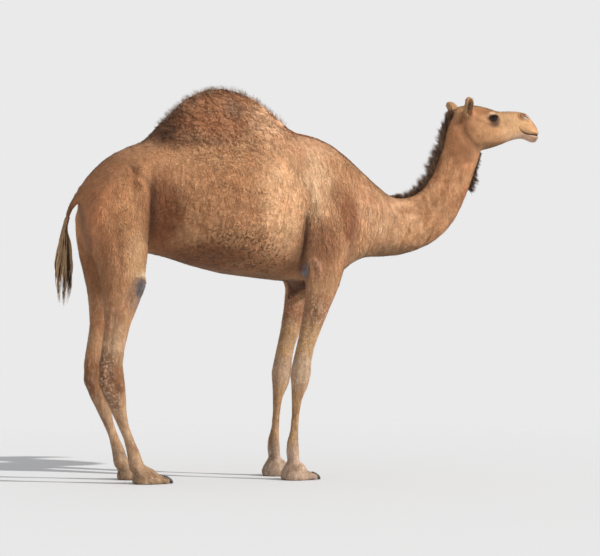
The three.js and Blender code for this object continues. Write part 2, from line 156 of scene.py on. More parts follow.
def along(points, path):
    """Distance to a path on the +Y side, and the path's own weight there.

    The path's points are x z or x z weight, for a path seen from the side, or x y z weight.
    """
    flat = len(path[0]) < 4
    axes = [0, 2] if flat else [0, 1, 2]
    q = mirrored(points)[:, axes]
    pts = np.array([p[: len(axes)] for p in path])
    weights = np.array([p[len(axes)] if len(p) > len(axes) else 1.0 for p in path])
    best = np.full(len(q), 1e9)
    weight = np.zeros(len(q))
    for a, b, wa, wb in zip(pts[:-1], pts[1:], weights[:-1], weights[1:]):
        run = b - a
        t = np.clip((q - a) @ run / max(run @ run, 1e-9), 0, 1)
        d = np.linalg.norm(q - a - t[:, None] * run, axis=1)
        closer = d < best
        best = np.where(closer, d, best)
        weight = np.where(closer, wa + (wb - wa) * t, weight)
    return best, weight


def path_of(strokes, wanted):
    return next(path for name, _, path in strokes if name == wanted)


# ---------------------------------------------------------------- meshes in and out
def read(mesh, collection, name, kind, width):
    items = getattr(mesh, collection)
    out = np.empty(len(items) * width, kind)
    items.foreach_get(name, out)
    return out.reshape(-1, width) if width > 1 else out


def places(mesh):
    """The mesh's points, in source millimetres."""
    out = read(mesh, "vertices", "co", np.float32, 3).astype(float) * 1000.0
    out[:, 0] += SHIFT
    return out


def put(mesh, points):
    mesh.vertices.foreach_set("co", row(points).astype(np.float32).ravel())
    mesh.update()


def facing(mesh):
    return read(mesh, "vertex_normals", "vector", np.float32, 3).astype(float)


def new_mesh(name, points, corners, sizes):
    """A mesh from points in source millimetres, face corners one after another, and corners per face."""
    mesh = bpy.data.meshes.new(name)
    mesh.vertices.add(len(points))
    mesh.vertices.foreach_set("co", row(points).astype(np.float32).ravel())
    mesh.loops.add(len(corners))
    mesh.loops.foreach_set("vertex_index", np.asarray(corners, np.int32))
    mesh.polygons.add(len(sizes))
    starts = np.concatenate([[0], np.cumsum(sizes)[:-1]]).astype(np.int32)
    mesh.polygons.foreach_set("loop_start", starts)
    mesh.polygons.foreach_set("use_smooth", np.ones(len(sizes), bool))
    mesh.update(calc_edges=True)
    return mesh


def smooth(mesh):
    mesh.polygons.foreach_set("use_smooth", np.ones(len(mesh.polygons), bool))


def shown(name, mesh, material):
    """A piece of the model that rides on the root body."""
    piece = bpy.data.objects.new(name, mesh)
    bpy.context.scene.collection.objects.link(piece)
    mesh.materials.clear()
    mesh.materials.append(material)
    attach(piece, "root")
    return piece


def remeshed(nodes, voxel):
    """One even mesh round the CAD nodes, with the thin cuts between them closed."""
    points, corners, count = [], [], 0
    for node in nodes:
        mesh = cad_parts[node].data
        mesh.calc_loop_triangles()
        points.append(places(mesh))
        corners.append(read(mesh, "loop_triangles", "vertices", np.int32, 3) + count)
        count += len(mesh.vertices)
    corners = np.concatenate(corners)
    rough = new_mesh("rough", np.concatenate(points), corners.ravel(), np.full(len(corners), 3))
    holder = bpy.data.objects.new("rough", rough)
    bpy.context.scene.collection.objects.link(holder)
    change = holder.modifiers.new("even", "REMESH")
    change.mode = "VOXEL"
    change.voxel_size = voxel / 1000.0
    graph = bpy.context.evaluated_depsgraph_get()
    made = bpy.data.meshes.new_from_object(holder.evaluated_get(graph))
    bpy.data.objects.remove(holder)
    bpy.data.meshes.remove(rough)
    return made


# ---------------------------------------------------------------- shaping
def relax(points, edges, weight, rounds):
    """Evens the surface out. weight is how far each point moves per round towards its neighbours' middle."""
    a, b = edges[:, 0], edges[:, 1]
    n = len(points)
    degree = np.maximum(np.bincount(a, minlength=n) + np.bincount(b, minlength=n), 1)
    points = points.copy()
    for _ in range(rounds):
        for k in range(3):
            c = points[:, k]
            total = np.bincount(a, weights=c[b], minlength=n) + np.bincount(b, weights=c[a], minlength=n)
            points[:, k] = c + weight * (total / degree - c)
    return points


def refine(mesh, chosen):
    """Splits the faces whose points are all chosen, and smooths what is new."""
    old = len(mesh.vertices)
    bm = bmesh.new()
    bm.from_mesh(mesh)
    bm.verts.ensure_lookup_table()
    picked = set()
    for face in bm.faces:
        if all(chosen[v.index] for v in face.verts):
            picked.update(face.edges)
    bmesh.ops.subdivide_edges(bm, edges=list(picked), cuts=1, use_grid_fill=True)
    bm.to_mesh(mesh)
    bm.free()
    mesh.update()
    points = places(mesh)
    touched = np.zeros(len(points), bool)
    touched[old:] = True
    edges = read(mesh, "edges", "vertices", np.int32, 2)
    beside = touched.copy()
    beside[edges[touched[edges].any(axis=1)].ravel()] = True
    put(mesh, relax(points, edges, 0.5 * beside, 2))


def in_tail(points):
    return step(-1185, -1215, points[:, 0]) * step(1150, 1250, points[:, 2])


def head_share(points):
    """How much each point belongs to the head, with a soft edge at the jaw and the poll."""
    x, y, z = points.T
    return step(1700, 1800, z + 0.45 * (x - 950)) * step(800, 900, x)


def in_head(points, margin=0.0):
    x, y, z = points.T
    return (z + 0.45 * (x - 950) > 1740 - margin) & (x > 800 - margin)


def core(points):
    """How strongly the CAD's flat faces are smoothed: most on the trunk, least on thin and sharp parts."""
    x, y, z = points.T
    legs = step(1150, 980, z)
    feet = step(150, 90, z)
    tail = step(-1185, -1215, x) * step(1560, 1500, z) * step(1150, 1250, z)
    out = 0.55 - 0.25 * step(420, 620, x)
    out = out + (0.16 - out) * np.maximum(legs, head_share(points))
    return out + (0.05 - out) * np.maximum(feet, tail)


# Each stroke: name | radius, height (less than 0 cuts in), how sharp | path. Its points are x z or x z weight
# for a stroke seen from the side, and x y z weight for one in space.
BODY_STROKES = rows("""
    behind the upper arm | 17 -17 1.5 | -44 1440 0, -52 1380 0.8, -54 1290 1, -56 1190 1, -50 1120 0.4;
    hollow behind it | 44 -9 2 | -80 1330 0.3, -96 1240 1, -92 1130 0.8;
    triceps | 58 12 2 | -8 1500 0.2, 0 1400 1, 6 1260 0.8, -6 1170 0.4;
    elbow | 26 9 2 | -40 1128, -36 1080;
    crescent ahead of the elbow | 12 5 2 | -46 1150 0.3, -8 1166 1, 24 1136 1, 32 1080 0.7, 14 1020 0;
    crescent groove | 9 -5 2 | -22 1146 0.3, -6 1138 1, 4 1100 1, 4 1050 0.4;
    blade ridge | 30 11 2 | -66 1650 0.2, -36 1560 1, 6 1440 1, 44 1350 0.4;
    behind the blade | 42 -11 2 | -150 1720 0, -150 1620 0.7, -128 1520 1, -96 1420 0.7;
    ahead of the blade | 36 -9 2 | 100 1600 0, 108 1500 0.8, 150 1396 1, 166 1265 0.8, 150 1180 0;
    shoulder point | 52 10 2 | 196 1330, 212 1260;
    breast dip | 40 -8 2 | 262 1330 0.3, 252 1240 1, 214 1130 0.6;
    rib 1 | 20 1.2 2 | -210 1640 0, -190 1480 1, -210 1300 1, -260 1160 0;
    rib 2 | 20 1.2 2 | -290 1640 0, -272 1480 1, -296 1300 1, -350 1160 0;
    rib 3 | 20 1.1 2 | -372 1620 0, -356 1480 1, -384 1300 1, -440 1170 0;
    rib 4 | 20 1 2 | -456 1600 0, -440 1470 1, -472 1300 1, -530 1180 0;
    rib 5 | 20 0.9 2 | -540 1580 0, -530 1460 1, -566 1310 0.8, -620 1200 0;
    front of the thigh | 20 -18 1.6 | -905 1560 0, -893 1500 0.7, -890 1390 1, -884 1270 1, -868 1190 0.3;
    flank hollow | 62 -17 2 | -842 1500 0.4, -832 1390 1, -816 1270 0.8;
    stifle fold | 30 12 2 | -908 1330 0, -906 1220 1, -900 1120 1, -912 1040 0.6;
    hip bone | 20 10 2 | -930 1618, -934 1598;
    lower hip bump | 17 8 2 | -952 1556, -946 1542;
    hip pit | 13 -9 2 | -985 1630 0.5, -978 1606 1;
    under the hip | 24 -5 2 | -970 1570 0.4, -990 1500 1, -1000 1440 0.2;
    thigh muscle | 66 11 2 | -990 1480 0.4, -1000 1380 1, -1006 1270 0.8, -990 1160 0.3;
    thigh parting | 20 -6 2 | -1086 1400 0, -1078 1300 0.8, -1062 1200 1, -1052 1090 0.9, -1060 990 0.2;
    buttock | 46 7 2 | -1140 1420 0.3, -1136 1320 1, -1112 1200 0.4;
    thigh wrinkle 1 | 7 -2.4 2 | -1012 1500 0, -1004 1440 1, -1010 1380 0.6, -1000 1330 0;
    thigh wrinkle 2 | 7 -2.2 2 | -968 1420 0, -972 1360 1, -962 1290 0.8, -968 1240 0;
    thigh wrinkle 3 | 7 -2.4 2 | -1030 1220 0, -1012 1160 1, -990 1110 0.8, -984 1076 0;
    stifle callus | 24 5 2.4 | -926 1040, -916 980;
    under the knee cap | 18 -6 2 | -960 1050 0.4, -966 990 1, -948 930 0.3;
    gaskin parting | 13 -4.5 2 | -1072 960 0, -1080 860 1, -1092 740 1, -1108 640 0.6;
    hamstring | 12 4 2 | -1128 760 0.3, -1134 680 1, -1140 600 1;
    hock hollow | 15 -5 2 | -1100 640 0.2, -1104 580 1, -1088 520 0.4;
    hock bone | 17 4 2 | -1050 560, -1056 500;
    hind tendon | 7 -3 2 | -1082 420 0.3, -1050 340 1, -1026 260 1, -1008 210 0;
    forearm parting | 13 -5 2 | 30 1010 0.2, 2 900 1, -22 780 1, -38 690 0;
    forearm muscle | 28 5 2 | 90 1000 0.5, 58 900 1, 22 800 0.5;
    knee cap rim | 9 -3 2 | -62 640 0.2, -50 600 1, -58 540 1, -66 500 0.2;
    knee bone | 16 4 2 | -32 600, -36 540;
    fore tendon | 6 -3.4 2 | -78 460 0.2, -86 380 1, -92 280 1, -98 220 0.3;
    neck cord | 22 -5 2 | 430 1500 0, 560 1420 0.8, 690 1420 1, 780 1500 1, 850 1640 1, 915 1790 0.7,
        945 1870 0;
    tail root | 24 -10 2 | -1234 0 1504 0.5, -1238 0 1486 1, -1246 0 1450 0.6, -1254 0 1426 0.2;
    end of the croup | 62 13 2 | -1000 0 1724 0.2, -1070 0 1690 0.9, -1134 0 1628 1, -1190 0 1560 0.9,
        -1212 0 1526 0.7, -1222 0 1506 0;
    point of the hock | 26 9 2 | -1164 574 0.4, -1168 544 1, -1158 510 0.6;
    dock | 30 -4 2 | -1262 0 1400 0.4, -1278 0 1366 1, -1282 0 1340 1;
    windpipe | 20 4 2 | 520 1232 0, 660 1262 0.8, 790 1330 1, 880 1440 1, 944 1560 1, 1000 1700 0.5;
    neck root dip | 40 -7 2 | 300 1520 0.3, 340 1430 1, 330 1320 0.6
""")


def carve(points, normals, strokes):
    """How far the strokes push each point out along its normal."""
    out = np.zeros(len(points))
    outside = step(0.1, 0.45, normals[:, 1] * np.sign(points[:, 1]))
    for _, (radius, height, sharp), path in strokes:
        flat = len(path[0]) < 4
        xs = [p[0] for p in path]
        zs = [p[1] if flat else p[2] for p in path]
        reach = 2.6 * radius
        inside = (points[:, 0] > min(xs) - reach) & (points[:, 0] < max(xs) + reach)
        inside &= (points[:, 2] > min(zs) - reach) & (points[:, 2] < max(zs) + reach)
        if not inside.any():
            continue
        d, weight = along(points[inside], path)
        push = height * weight * np.exp(-((d / radius) ** sharp))
        out[inside] += push * (outside[inside] if flat else 1.0)
    return out


def coat_depth(points):
    """How far the skin lies inside the CAD solids, to leave room for the coat."""
    out = 3.8 + 4.2 * near(points, (-440, 0, 1960), (420, 320, 200), 0.4)
    out = out + (2.2 - out) * step(1000, 700, points[:, 2])
    out = out + (1.6 - out) * head_share(points)
    return out + (1.2 - out) * in_tail(points)


JAW_EDGE = cell("940 1985, 922 1933, 937 1873, 968 1828, 1004 1802, 1038 1778")
HEAD_STROKES = rows("""
    behind the cheek | 15 -6.5 2 | 952 1975 0, 932 1935 0.6, 936 1893 1, 950 1862 1, 978 1826 1,
        1012 1798 0.8, 1048 1780 0.2;
    chewing muscle | 46 6 2 | 1000 1900, 1030 1860;
    cheek bone | 12 4.5 2 | 1160 1922 0.3, 1110 1920 0.8, 1050 1938 1, 990 1958 0.3;
    temple hollow | 24 -5 2 | 1050 1980, 1010 1985;
    brow | 9 5.5 2 | 1070 1976 0.4, 1088 1986 1, 1116 1986 1, 1140 1973 0.3;
    tear hollow | 15 -4 2 | 1136 1934 0.8, 1170 1926 1, 1200 1930 0.3;
    face crest | 11 3 2 | 1160 1944 0.3, 1200 1948 1, 1260 1950 0.4;
    muzzle dip | 22 -4 2 | 1190 1898 0.6, 1230 1905 1, 1268 1918 0.6;
    jaw edge | 10 2.5 2 | 1100 1796 0.3, 1190 1824 1, 1280 1856 0.6;
    above the jaw edge | 13 -3 2 | 1110 1832 0.3, 1190 1856 1, 1270 1884 0.6
""")
MUZZLE_STROKES = rows("""
    nostril | 3.8 -11 2 | 1311 1980 0.3, 1321 1975 1, 1333 1968 1, 1345 1960 0.4;
    nostril roof | 6 4.4 2 | 1304 1992 0.2, 1322 1986 1, 1340 1976 1, 1354 1963 0.3;
    nostril floor | 5 4 2 | 1302 1972 0.2, 1316 1965 1, 1330 1957 1, 1344 1950 0.2;
    nose wrinkle 1 | 3.8 -2.6 2 | 1300 2000 0.2, 1288 1984 1, 1287 1962 1, 1298 1942 0.3;
    nose wrinkle 2 | 3.6 -1.8 2 | 1282 1997 0, 1272 1980 1, 1273 1958 0.8, 1281 1944 0;
    nose wrinkle 3 | 3.6 -2.4 2 | 1306 1944 0.2, 1328 1940 1, 1350 1942 0.8, 1366 1950 0.1;
    mouth | 6.4 -17 1.7 | 1428 0 1871 1, 1414 24 1872 1, 1396 36 1873 1, 1372 43 1874 1, 1344 48 1876 1,
        1322 49 1881 1, 1304 50 1888 1, 1289 51 1897 0.5;
    upper lip | 10 4.6 2 | 1424 0 1885 1, 1410 26 1885 1, 1394 38 1886 1, 1368 45 1889 1,
        1340 50 1896 0.7, 1316 51 1908 0.2;
    lower lip | 9 5 2 | 1424 0 1856 1, 1412 24 1857 1, 1394 35 1858 1, 1366 42 1861 1, 1336 48 1868 0.6,
        1306 50 1884 0.2;
    mouth corner | 5 -4 2 | 1286 1928 0.1, 1278 1912 1, 1284 1896 0.4;
    cleft of the upper lip | 3.2 -5.5 2 | 1376 0 1962 0.1, 1402 0 1938 0.8, 1418 0 1908 1, 1424 0 1882 1;
    under the lower lip | 7 -4 2 | 1416 0 1838 1, 1402 22 1840 1, 1382 34 1842 0.6, 1350 42 1850 0
""")

MOUTH = path_of(MUZZLE_STROKES, "mouth")
NOSTRIL = path_of(MUZZLE_STROKES, "nostril")

# The eye looks out along the first of these. Forward and up go with it.
EYE_OUT = unit(np.array([[0.22, 0.97, 0.06]]))[0]
EYE_AHEAD = unit(np.array([[0.97, -0.22, -0.13]]))[0]
EYE_UP = np.cross(EYE_AHEAD, EYE_OUT)
LID_WIDTH, LID_RISE, LID_DROP = 19.5, 13.0, 10.5  # of the opening, from its middle
LID_THICK = 2.3


def eye_opening(points):
    """Distance outside the opening between the lids, and each point's place and distance from the eye."""
    q = mirrored(points) - np.array(EYE)
    across, rise, out = q @ EYE_AHEAD, q @ EYE_UP, q @ EYE_OUT
    tall = np.where(rise > 0, LID_RISE, LID_DROP)
    r = ((np.abs(across) / LID_WIDTH) ** 1.7 + (np.abs(rise) / tall) ** 1.7) ** (1 / 1.7)
    spread = np.hypot(across, rise)
    return (r - 1) * spread / np.maximum(r, 0.05), across, rise, out, np.linalg.norm(q, axis=1)


def shape_eyes(points):
    """Sinks the skin under the eyeball inside the opening, and lays the lids over it outside."""
    outside, across, rise, out, away = eye_opening(points)
    q = mirrored(points) - np.array(EYE)
    near_eye = (away < 60) & (out > 2)
    lid = EYE_RADIUS + LID_THICK + 0.9 * bell(outside - 1.6, 1.5)
    fold = bell(outside - 7.5, 1.7) * step(-2, 4, rise)
    bag = bell(outside - 6.5, 1.8) * step(2, -3, rise)
    lid = lid - 2.4 * fold - 1.4 * bag + 1.6 * bell(outside - 11, 3.5) * step(0, 5, rise)
    covered = np.maximum(lid, np.minimum(away, lid + 8))
    shaped = covered + (away - covered) * step(5, 20, outside)
    shaped = np.where(outside < 9, np.minimum(shaped, lid + 0.25 * np.maximum(outside, 0)), shaped)
    sunk = EYE_RADIUS - 4.5
    shaped = sunk + (shaped - sunk) * step(-0.9, 0.9, outside)
    moved = np.where(near_eye, shaped, away)
    q = q / np.maximum(away, 1e-6)[:, None] * moved[:, None] + np.array(EYE)
    q[:, 1] *= np.sign(points[:, 1])
    return np.where(near_eye[:, None], q, points)


skin = remeshed(FLESH + ["eye_left", "eye_right"], VOXEL)
edges = read(skin, "edges", "vertices", np.int32, 2)
points = places(skin)
points = relax(points, edges, core(points), 60)
jaw_gap = along(points, JAW_EDGE)[0]
points = relax(points, edges, 0.6 * step(48, 20, jaw_gap) * step(18, 44, np.abs(points[:, 1])), 70)
put(skin, points)
normals = facing(skin)
points = points - normals * coat_depth(points)[:, None]
points = points + normals * carve(points, normals, BODY_STROKES)[:, None]
put(skin, points)

refine(skin, in_head(points, 15) | (points[:, 2] < 112))
points = places(skin)
points = points + facing(skin) * carve(points, facing(skin), HEAD_STROKES)[:, None]
put(skin, points)
eye_gap = np.linalg.norm(mirrored(points) - np.array(EYE), axis=1)
refine(skin, (eye_gap < 62) | ((points[:, 0] > 1262) & in_head(points)))
points = places(skin)
eye_gap = np.linalg.norm(mirrored(points) - np.array(EYE), axis=1)
muzzle_gap = along(points, cell("1424 0 1872 1, 1396 36 1873 1, 1339 48 1882 1, 1290 51 1908 1"))[0]
nose_gap = along(points, cell("1345 30 1988 1, 1312 44 1960 1"))[0]
refine(skin, (eye_gap < 50) | (muzzle_gap < 16) | (nose_gap < 24))
points = places(skin)
normals = facing(skin)
points = points + normals * carve(points, normals, MUZZLE_STROKES)[:, None]
points = shape_eyes(points)
put(skin, points)


# ---------------------------------------------------------------- markings
# Each marking: name | centre | radii | softness of its edge | colour (linear) | how much of it.
HIDE_COLOUR = (0.45, 0.235, 0.115)
# The flank, belly side and back of the hump markings are painted shade on sides turned from the light.
# The front of the thigh marking is a painted highlight on the thigh's front edge.
# The markings behind the jaw and along the jaw bottom are painted shade.
# The pale patch on the cheek is a painted highlight.
# The pale patch on the nostril's rim is a painted highlight.
# The rump marking is darker partly as painted shade, and the flank edge is painted shade in the crease ahead
# of the thigh.
MARKINGS = rows("""
    rump | -1090 150 1520 | 230 330 260 | 0.5 | 0.36 0.161 0.073 | 0.9;
    back of the rump | -1170 150 1340 | 90 330 190 | 0.6 | 0.564 0.241 0.11 | 0.8;
    under the tail | -1180 0 1330 | 120 58 200 | 0.6 | 0.36 0.175 0.085 | 0.75;
    thigh | -1010 220 1390 | 100 240 160 | 0.5 | 0.41 0.2 0.089 | 0.8;
    back of the thigh | -1105 170 1140 | 80 140 220 | 0.5 | 0.292 0.131 0.06 | 0.9;
    front of the thigh | -950 170 1150 | 62 220 150 | 0.5 | 0.477 0.291 0.152 | 0.8;
    ribs | -450 300 1480 | 350 240 240 | 0.5 | 0.396 0.192 0.089 | 0.9;
    front ribs | -200 300 1490 | 120 240 280 | 0.5 | 0.635 0.367 0.196 | 0.85;
    flank | -822 240 1360 | 95 240 200 | 0.6 | 0.208 0.075 0.03 | 0.95;
    flank edge | -872 240 1390 | 26 240 170 | 0.6 | 0.085 0.038 0.02 | 0.7;
    belly side | -600 220 1160 | 260 330 80 | 0.5 | 0.208 0.079 0.033 | 0.9;
    front of the belly | -200 220 1105 | 240 330 70 | 0.5 | 0.329 0.149 0.067 | 0.85;
    under the belly | -380 0 1070 | 420 120 60 | 0.5 | 0.3 0.17 0.095 | 0.6;
    hump | -470 0 1975 | 340 360 210 | 0.35 | 0.336 0.146 0.067 | 0.95;
    back of the hump | -765 0 1870 | 130 360 125 | 0.5 | 0.158 0.06 0.026 | 0.95;
    foot of the hump | -640 200 1790 | 160 260 50 | 0.6 | 0.24 0.11 0.055 | 0.6;
    red of the hump | -530 200 1855 | 120 200 42 | 0.8 | 0.36 0.14 0.065 | 0.5;
    smudge on the hump | -785 200 1815 | 52 200 66 | 0.8 | 0.065 0.03 0.017 | 0.75;
    band below the hump | -590 230 1772 | 125 200 20 | 0.9 | 0.19 0.09 0.046 | 0.55;
    grey of the hump | -415 150 1960 | 42 200 54 | 0.8 | 0.23 0.15 0.105 | 0.5;
    front of the hump | -205 0 1900 | 130 360 150 | 0.5 | 0.647 0.381 0.217 | 0.92;
    croup top | -960 60 1740 | 90 200 60 | 0.5 | 0.484 0.242 0.121 | 0.6;
    shoulder | 20 220 1570 | 85 240 180 | 0.5 | 0.538 0.336 0.192 | 0.85;
    withers | 60 100 1790 | 240 220 90 | 0.5 | 0.613 0.358 0.201 | 0.7;
    upper arm | 52 240 1255 | 92 190 120 | 0.5 | 0.266 0.115 0.054 | 0.95;
    brown band | 150 200 1500 | 52 220 80 | 0.6 | 0.28 0.13 0.062 | 0.6;
    pink of the neck | 320 150 1460 | 70 200 110 | 0.6 | 0.55 0.29 0.165 | 0.6;
    breast | 215 180 1370 | 72 220 150 | 0.5 | 0.232 0.086 0.038 | 0.85;
    arm front | 180 190 1130 | 50 200 120 | 0.5 | 0.46 0.23 0.115 | 0.8;
    low neck | 470 100 1400 | 160 220 120 | 0.5 | 0.562 0.315 0.171 | 0.9;
    under the neck | 540 0 1205 | 230 120 60 | 0.5 | 0.27 0.155 0.08 | 0.8;
    neck | 860 0 1620 | 190 200 270 | 0.5 | 0.472 0.23 0.108 | 0.85;
    neck red | 960 60 1716 | 34 60 40 | 0.7 | 0.42 0.16 0.08 | 0.28;
    upper neck | 905 70 1800 | 52 110 110 | 0.6 | 0.255 0.101 0.041 | 0.7;
    behind the jaw | 972 70 1832 | 34 60 90 | 0.7 | 0.207 0.085 0.037 | 0.75;
    cheek | 1060 90 1870 | 120 90 90 | 0.5 | 0.54 0.275 0.13 | 0.9;
    forehead | 1040 60 2020 | 120 110 42 | 0.5 | 0.417 0.232 0.095 | 0.85;
    temple | 1034 90 1992 | 64 50 20 | 0.6 | 0.4 0.15 0.065 | 0.65;
    nose | 1220 40 1990 | 120 80 60 | 0.5 | 0.478 0.284 0.14 | 0.9;
    pale cheek | 1215 60 1880 | 66 60 30 | 0.6 | 0.66 0.41 0.22 | 0.6;
    jaw bottom | 1180 60 1812 | 120 60 14 | 0.7 | 0.27 0.13 0.062 | 0.75;
    muzzle | 1350 40 1915 | 120 90 95 | 0.5 | 0.651 0.384 0.191 | 0.9;
    nose skin | 1306 50 1980 | 34 44 28 | 0.5 | 0.24 0.1 0.042 | 0.95;
    nostril rim | 1330 40 1969 | 19 30 12 | 0.5 | 0.86 0.7 0.56 | 0.9;
    front of the nose | 1352 20 1990 | 24 40 22 | 0.6 | 0.26 0.115 0.05 | 0.75;
    nose front below | 1380 30 1950 | 20 24 34 | 0.7 | 0.34 0.16 0.075 | 0.5;
    chin | 1325 30 1850 | 90 80 34 | 0.5 | 0.56 0.37 0.26 | 0.85;
    lower lip | 1396 30 1850 | 26 60 18 | 0.5 | 0.42 0.26 0.16 | 0.6;
    under the jaw | 1150 0 1800 | 140 60 30 | 0.5 | 0.28 0.15 0.075 | 0.8;
    round the eye | 1108 100 1949 | 32 40 25 | 0.7 | 0.07 0.027 0.013 | 0.75;
    below the eye | 1119 100 1928 | 30 40 22 | 0.7 | 0.065 0.038 0.028 | 0.9;
    eye corner | 1136 100 1946 | 20 40 16 | 0.7 | 0.126 0.07 0.038 | 0.75
""")
LEG_MARKINGS = rows("""
    inside of the hind leg | -1080 96 690 | 170 54 340 | 0.4 | 0.464 0.23 0.109 | 0.85;
    inside of the arm | 0 96 900 | 130 50 130 | 0.4 | 0.46 0.23 0.13 | 0.7;
    forearm | 40 160 920 | 170 200 110 | 0.4 | 0.345 0.162 0.08 | 0.9;
    forearm front | 150 160 900 | 40 200 110 | 0.6 | 0.42 0.22 0.11 | 0.7;
    low forearm | -20 160 730 | 140 200 90 | 0.5 | 0.504 0.301 0.143 | 0.9;
    knee | -40 160 560 | 130 200 90 | 0.5 | 0.511 0.34 0.218 | 0.9;
    fore cannon | -90 160 330 | 130 200 150 | 0.5 | 0.426 0.251 0.121 | 0.9;
    fore foot | -60 160 70 | 190 200 120 | 0.4 | 0.444 0.321 0.236 | 0.9;
    back of the gaskin | -1106 200 850 | 30 70 170 | 0.6 | 0.25 0.13 0.068 | 0.6;
    gaskin | -1030 160 850 | 160 200 190 | 0.5 | 0.385 0.182 0.085 | 0.8;
    low gaskin | -1044 200 690 | 100 90 110 | 0.6 | 0.51 0.322 0.185 | 0.8;
    gaskin front | -960 160 900 | 50 200 160 | 0.6 | 0.51 0.283 0.133 | 0.7;
    hock | -1110 190 540 | 110 110 120 | 0.5 | 0.218 0.087 0.033 | 0.85;
    hind cannon | -1000 160 320 | 130 200 120 | 0.5 | 0.43 0.255 0.14 | 0.9;
    hind foot | -900 160 60 | 190 200 120 | 0.4 | 0.304 0.19 0.108 | 0.9;
    round the stifle callus | -934 200 972 | 40 120 66 | 0.6 | 0.17 0.09 0.055 | 0.55;
    dock | -1262 0 1400 | 44 40 74 | 0.6 | 0.2 0.088 0.042 | 0.7;
    above the stifle callus | -925 200 1076 | 36 120 18 | 0.6 | 0.7 0.5 0.33 | 0.85
""")
# The breast pad is dark brown both as its callus's own colour and as painted shade under the chest.
CALLUSES = rows("""
    elbow edge | -42 240 1095 | 22 90 56 | 0.6 | 0.11 0.06 0.042 | 0.7;
    elbow | -42 240 1096 | 13 90 38 | 0.7 | 0.18 0.175 0.19 | 1;
    stifle | -962 210 972 | 56 90 98 | 0.4 | 0.17 0.088 0.05 | 0.75;
    stifle pad | -934 210 998 | 33 90 60 | 0.5 | 0.105 0.088 0.088 | 1;
    breast pad | 12 0 996 | 80 74 16 | 0.4 | 0.075 0.04 0.028 | 0.9;
    knee pad | -2 152 562 | 22 60 52 | 0.5 | 0.17 0.1 0.065 | 0.7;
    hock pad | -1158 152 560 | 14 26 34 | 0.4 | 0.22 0.16 0.12 | 0.6
""")
MANE_PATH = cell("""
    880 0 1975 1, 836 0 1890 1, 808 0 1800 1, 776 0 1700 1, 728 0 1602 1, 664 0 1534 1, 585 0 1508 1,
    500 0 1520 1
""")
BEARD_PATH = cell("1052 0 1766 1, 1030 0 1690 1, 1004 0 1612 1, 984 0 1566 1")


def relief(points):
    """The coat's own form in 0..1: woolly curls on the hump and flank, upright furrows elsewhere, thin dark
    creases between them."""
    warp = np.stack([noise(points, 42, 101 + k) for k in range(3)], axis=1) - 0.5
    q = points + 26 * warp
    locks = q * np.array([0.75, 1.0, 1.15])
    curls = np.clip(np.abs(2 * fractal(locks, 31, 111) - 1) * 3.2, 0, 1) ** 0.8
    upright = q * np.array([1.0, 1.0, 0.24])
    furrows = np.clip(np.abs(2 * fractal(upright, 17, 121) - 1) * 3.4, 0, 1) ** 0.8
    woolly = near(points, (-470, 0, 1850), (430, 400, 270), 0.35)
    woolly = np.maximum(woolly, 0.7 * near(points, (-500, 280, 1420), (330, 200, 240), 0.5))
    return furrows + (curls - furrows) * woolly


def creased(points):
    """How painted shade darkens the coat's creases and lightens its crests, and how deep the creases are in
    mm.
    """
    x, y, z = points.T
    hump = near(points, (-470, 0, 1860), (430, 400, 260), 0.35)
    flank = near(points, (-480, 280, 1420), (380, 200, 260), 0.5)
    shoulder = near(points, (190, 150, 1440), (330, 260, 330), 0.4)
    neck = step(430, 560, x) * step(1100, 1200, z)
    throat = near(points, (930, 60, 1760), (120, 140, 140), 0.5)
    legs = step(1060, 940, z)
    plan = np.tile((0.17, 1.0), (len(points), 1))
    for share, values in (
        (flank, (0.60, 3.8)), (hump, (0.68, 6.0)), (shoulder, (0.46, 2.6)), (neck, (0.26, 1.2)),
        (throat, (0.14, 0.6)), (legs, (0.30, 0.8)), (in_head(points) * 1.0, (0.10, 0.3)),
    ):
        plan = blend(plan, values, share)
    form = relief(points)
    return 1.0 + 0.30 * plan[:, 0] - plan[:, 0] * (1 - form) ** 1.2, plan[:, 1], form


# Painted shade in the coat's creases is browner than the painted light on its crests.
CREASE_SHADE_TINT = np.array([0.86, 1.12, 1.34])  # the coat's creases are browner than its crests
MOTTLE_TINT = np.array([0.85, 1.0, 1.2])
WARM_TINT = np.array([0.10, -0.05, -0.12])
PATCH_TINT = np.array([0.66, 0.60, 0.62])
LEG_COLOUR = (0.38, 0.22, 0.12)
ABOVE_THE_LEGS = 3  # the last leg markings that are laid at full strength, above the legs too
# Among these colours the arm groove's, the arm fold's and the mouth's are painted shade, and the brow's a
# painted highlight.
ARM_GROOVE_SHADE, NAPE_BROWN, THROAT_BROWN = (0.056, 0.020, 0.009), (0.10, 0.05, 0.027), (0.14, 0.07, 0.036)
ARM_FOLD_SHADOW, HOCK_BROWN, NOSE_BROWN = (0.105, 0.046, 0.028), (0.145, 0.076, 0.044), (0.17, 0.078, 0.036)
CRESCENT_PINK, BROW_HIGHLIGHT, LEG_CREAM = (0.55, 0.28, 0.175), (0.76, 0.52, 0.33), (0.60, 0.44, 0.32)
RIM_BLACK, MOUTH_SHADE, SLIT_BROWN = (0.012, 0.009, 0.008), (0.038, 0.017, 0.011), (0.03, 0.016, 0.012)
EYE_SHADOW = (((0.125, 0.054, 0.028), 13.0, 0.8), ((0.028, 0.013, 0.008), 5.5, 0.92))  # colour, width, amount
ARM_GROOVE = cell("-44 1440 0, -52 1380 0.8, -54 1290 1, -58 1190 1, -56 1120 0.8")
ARM_HOLLOW = cell("-100 1240 0.4, -96 1150 1")
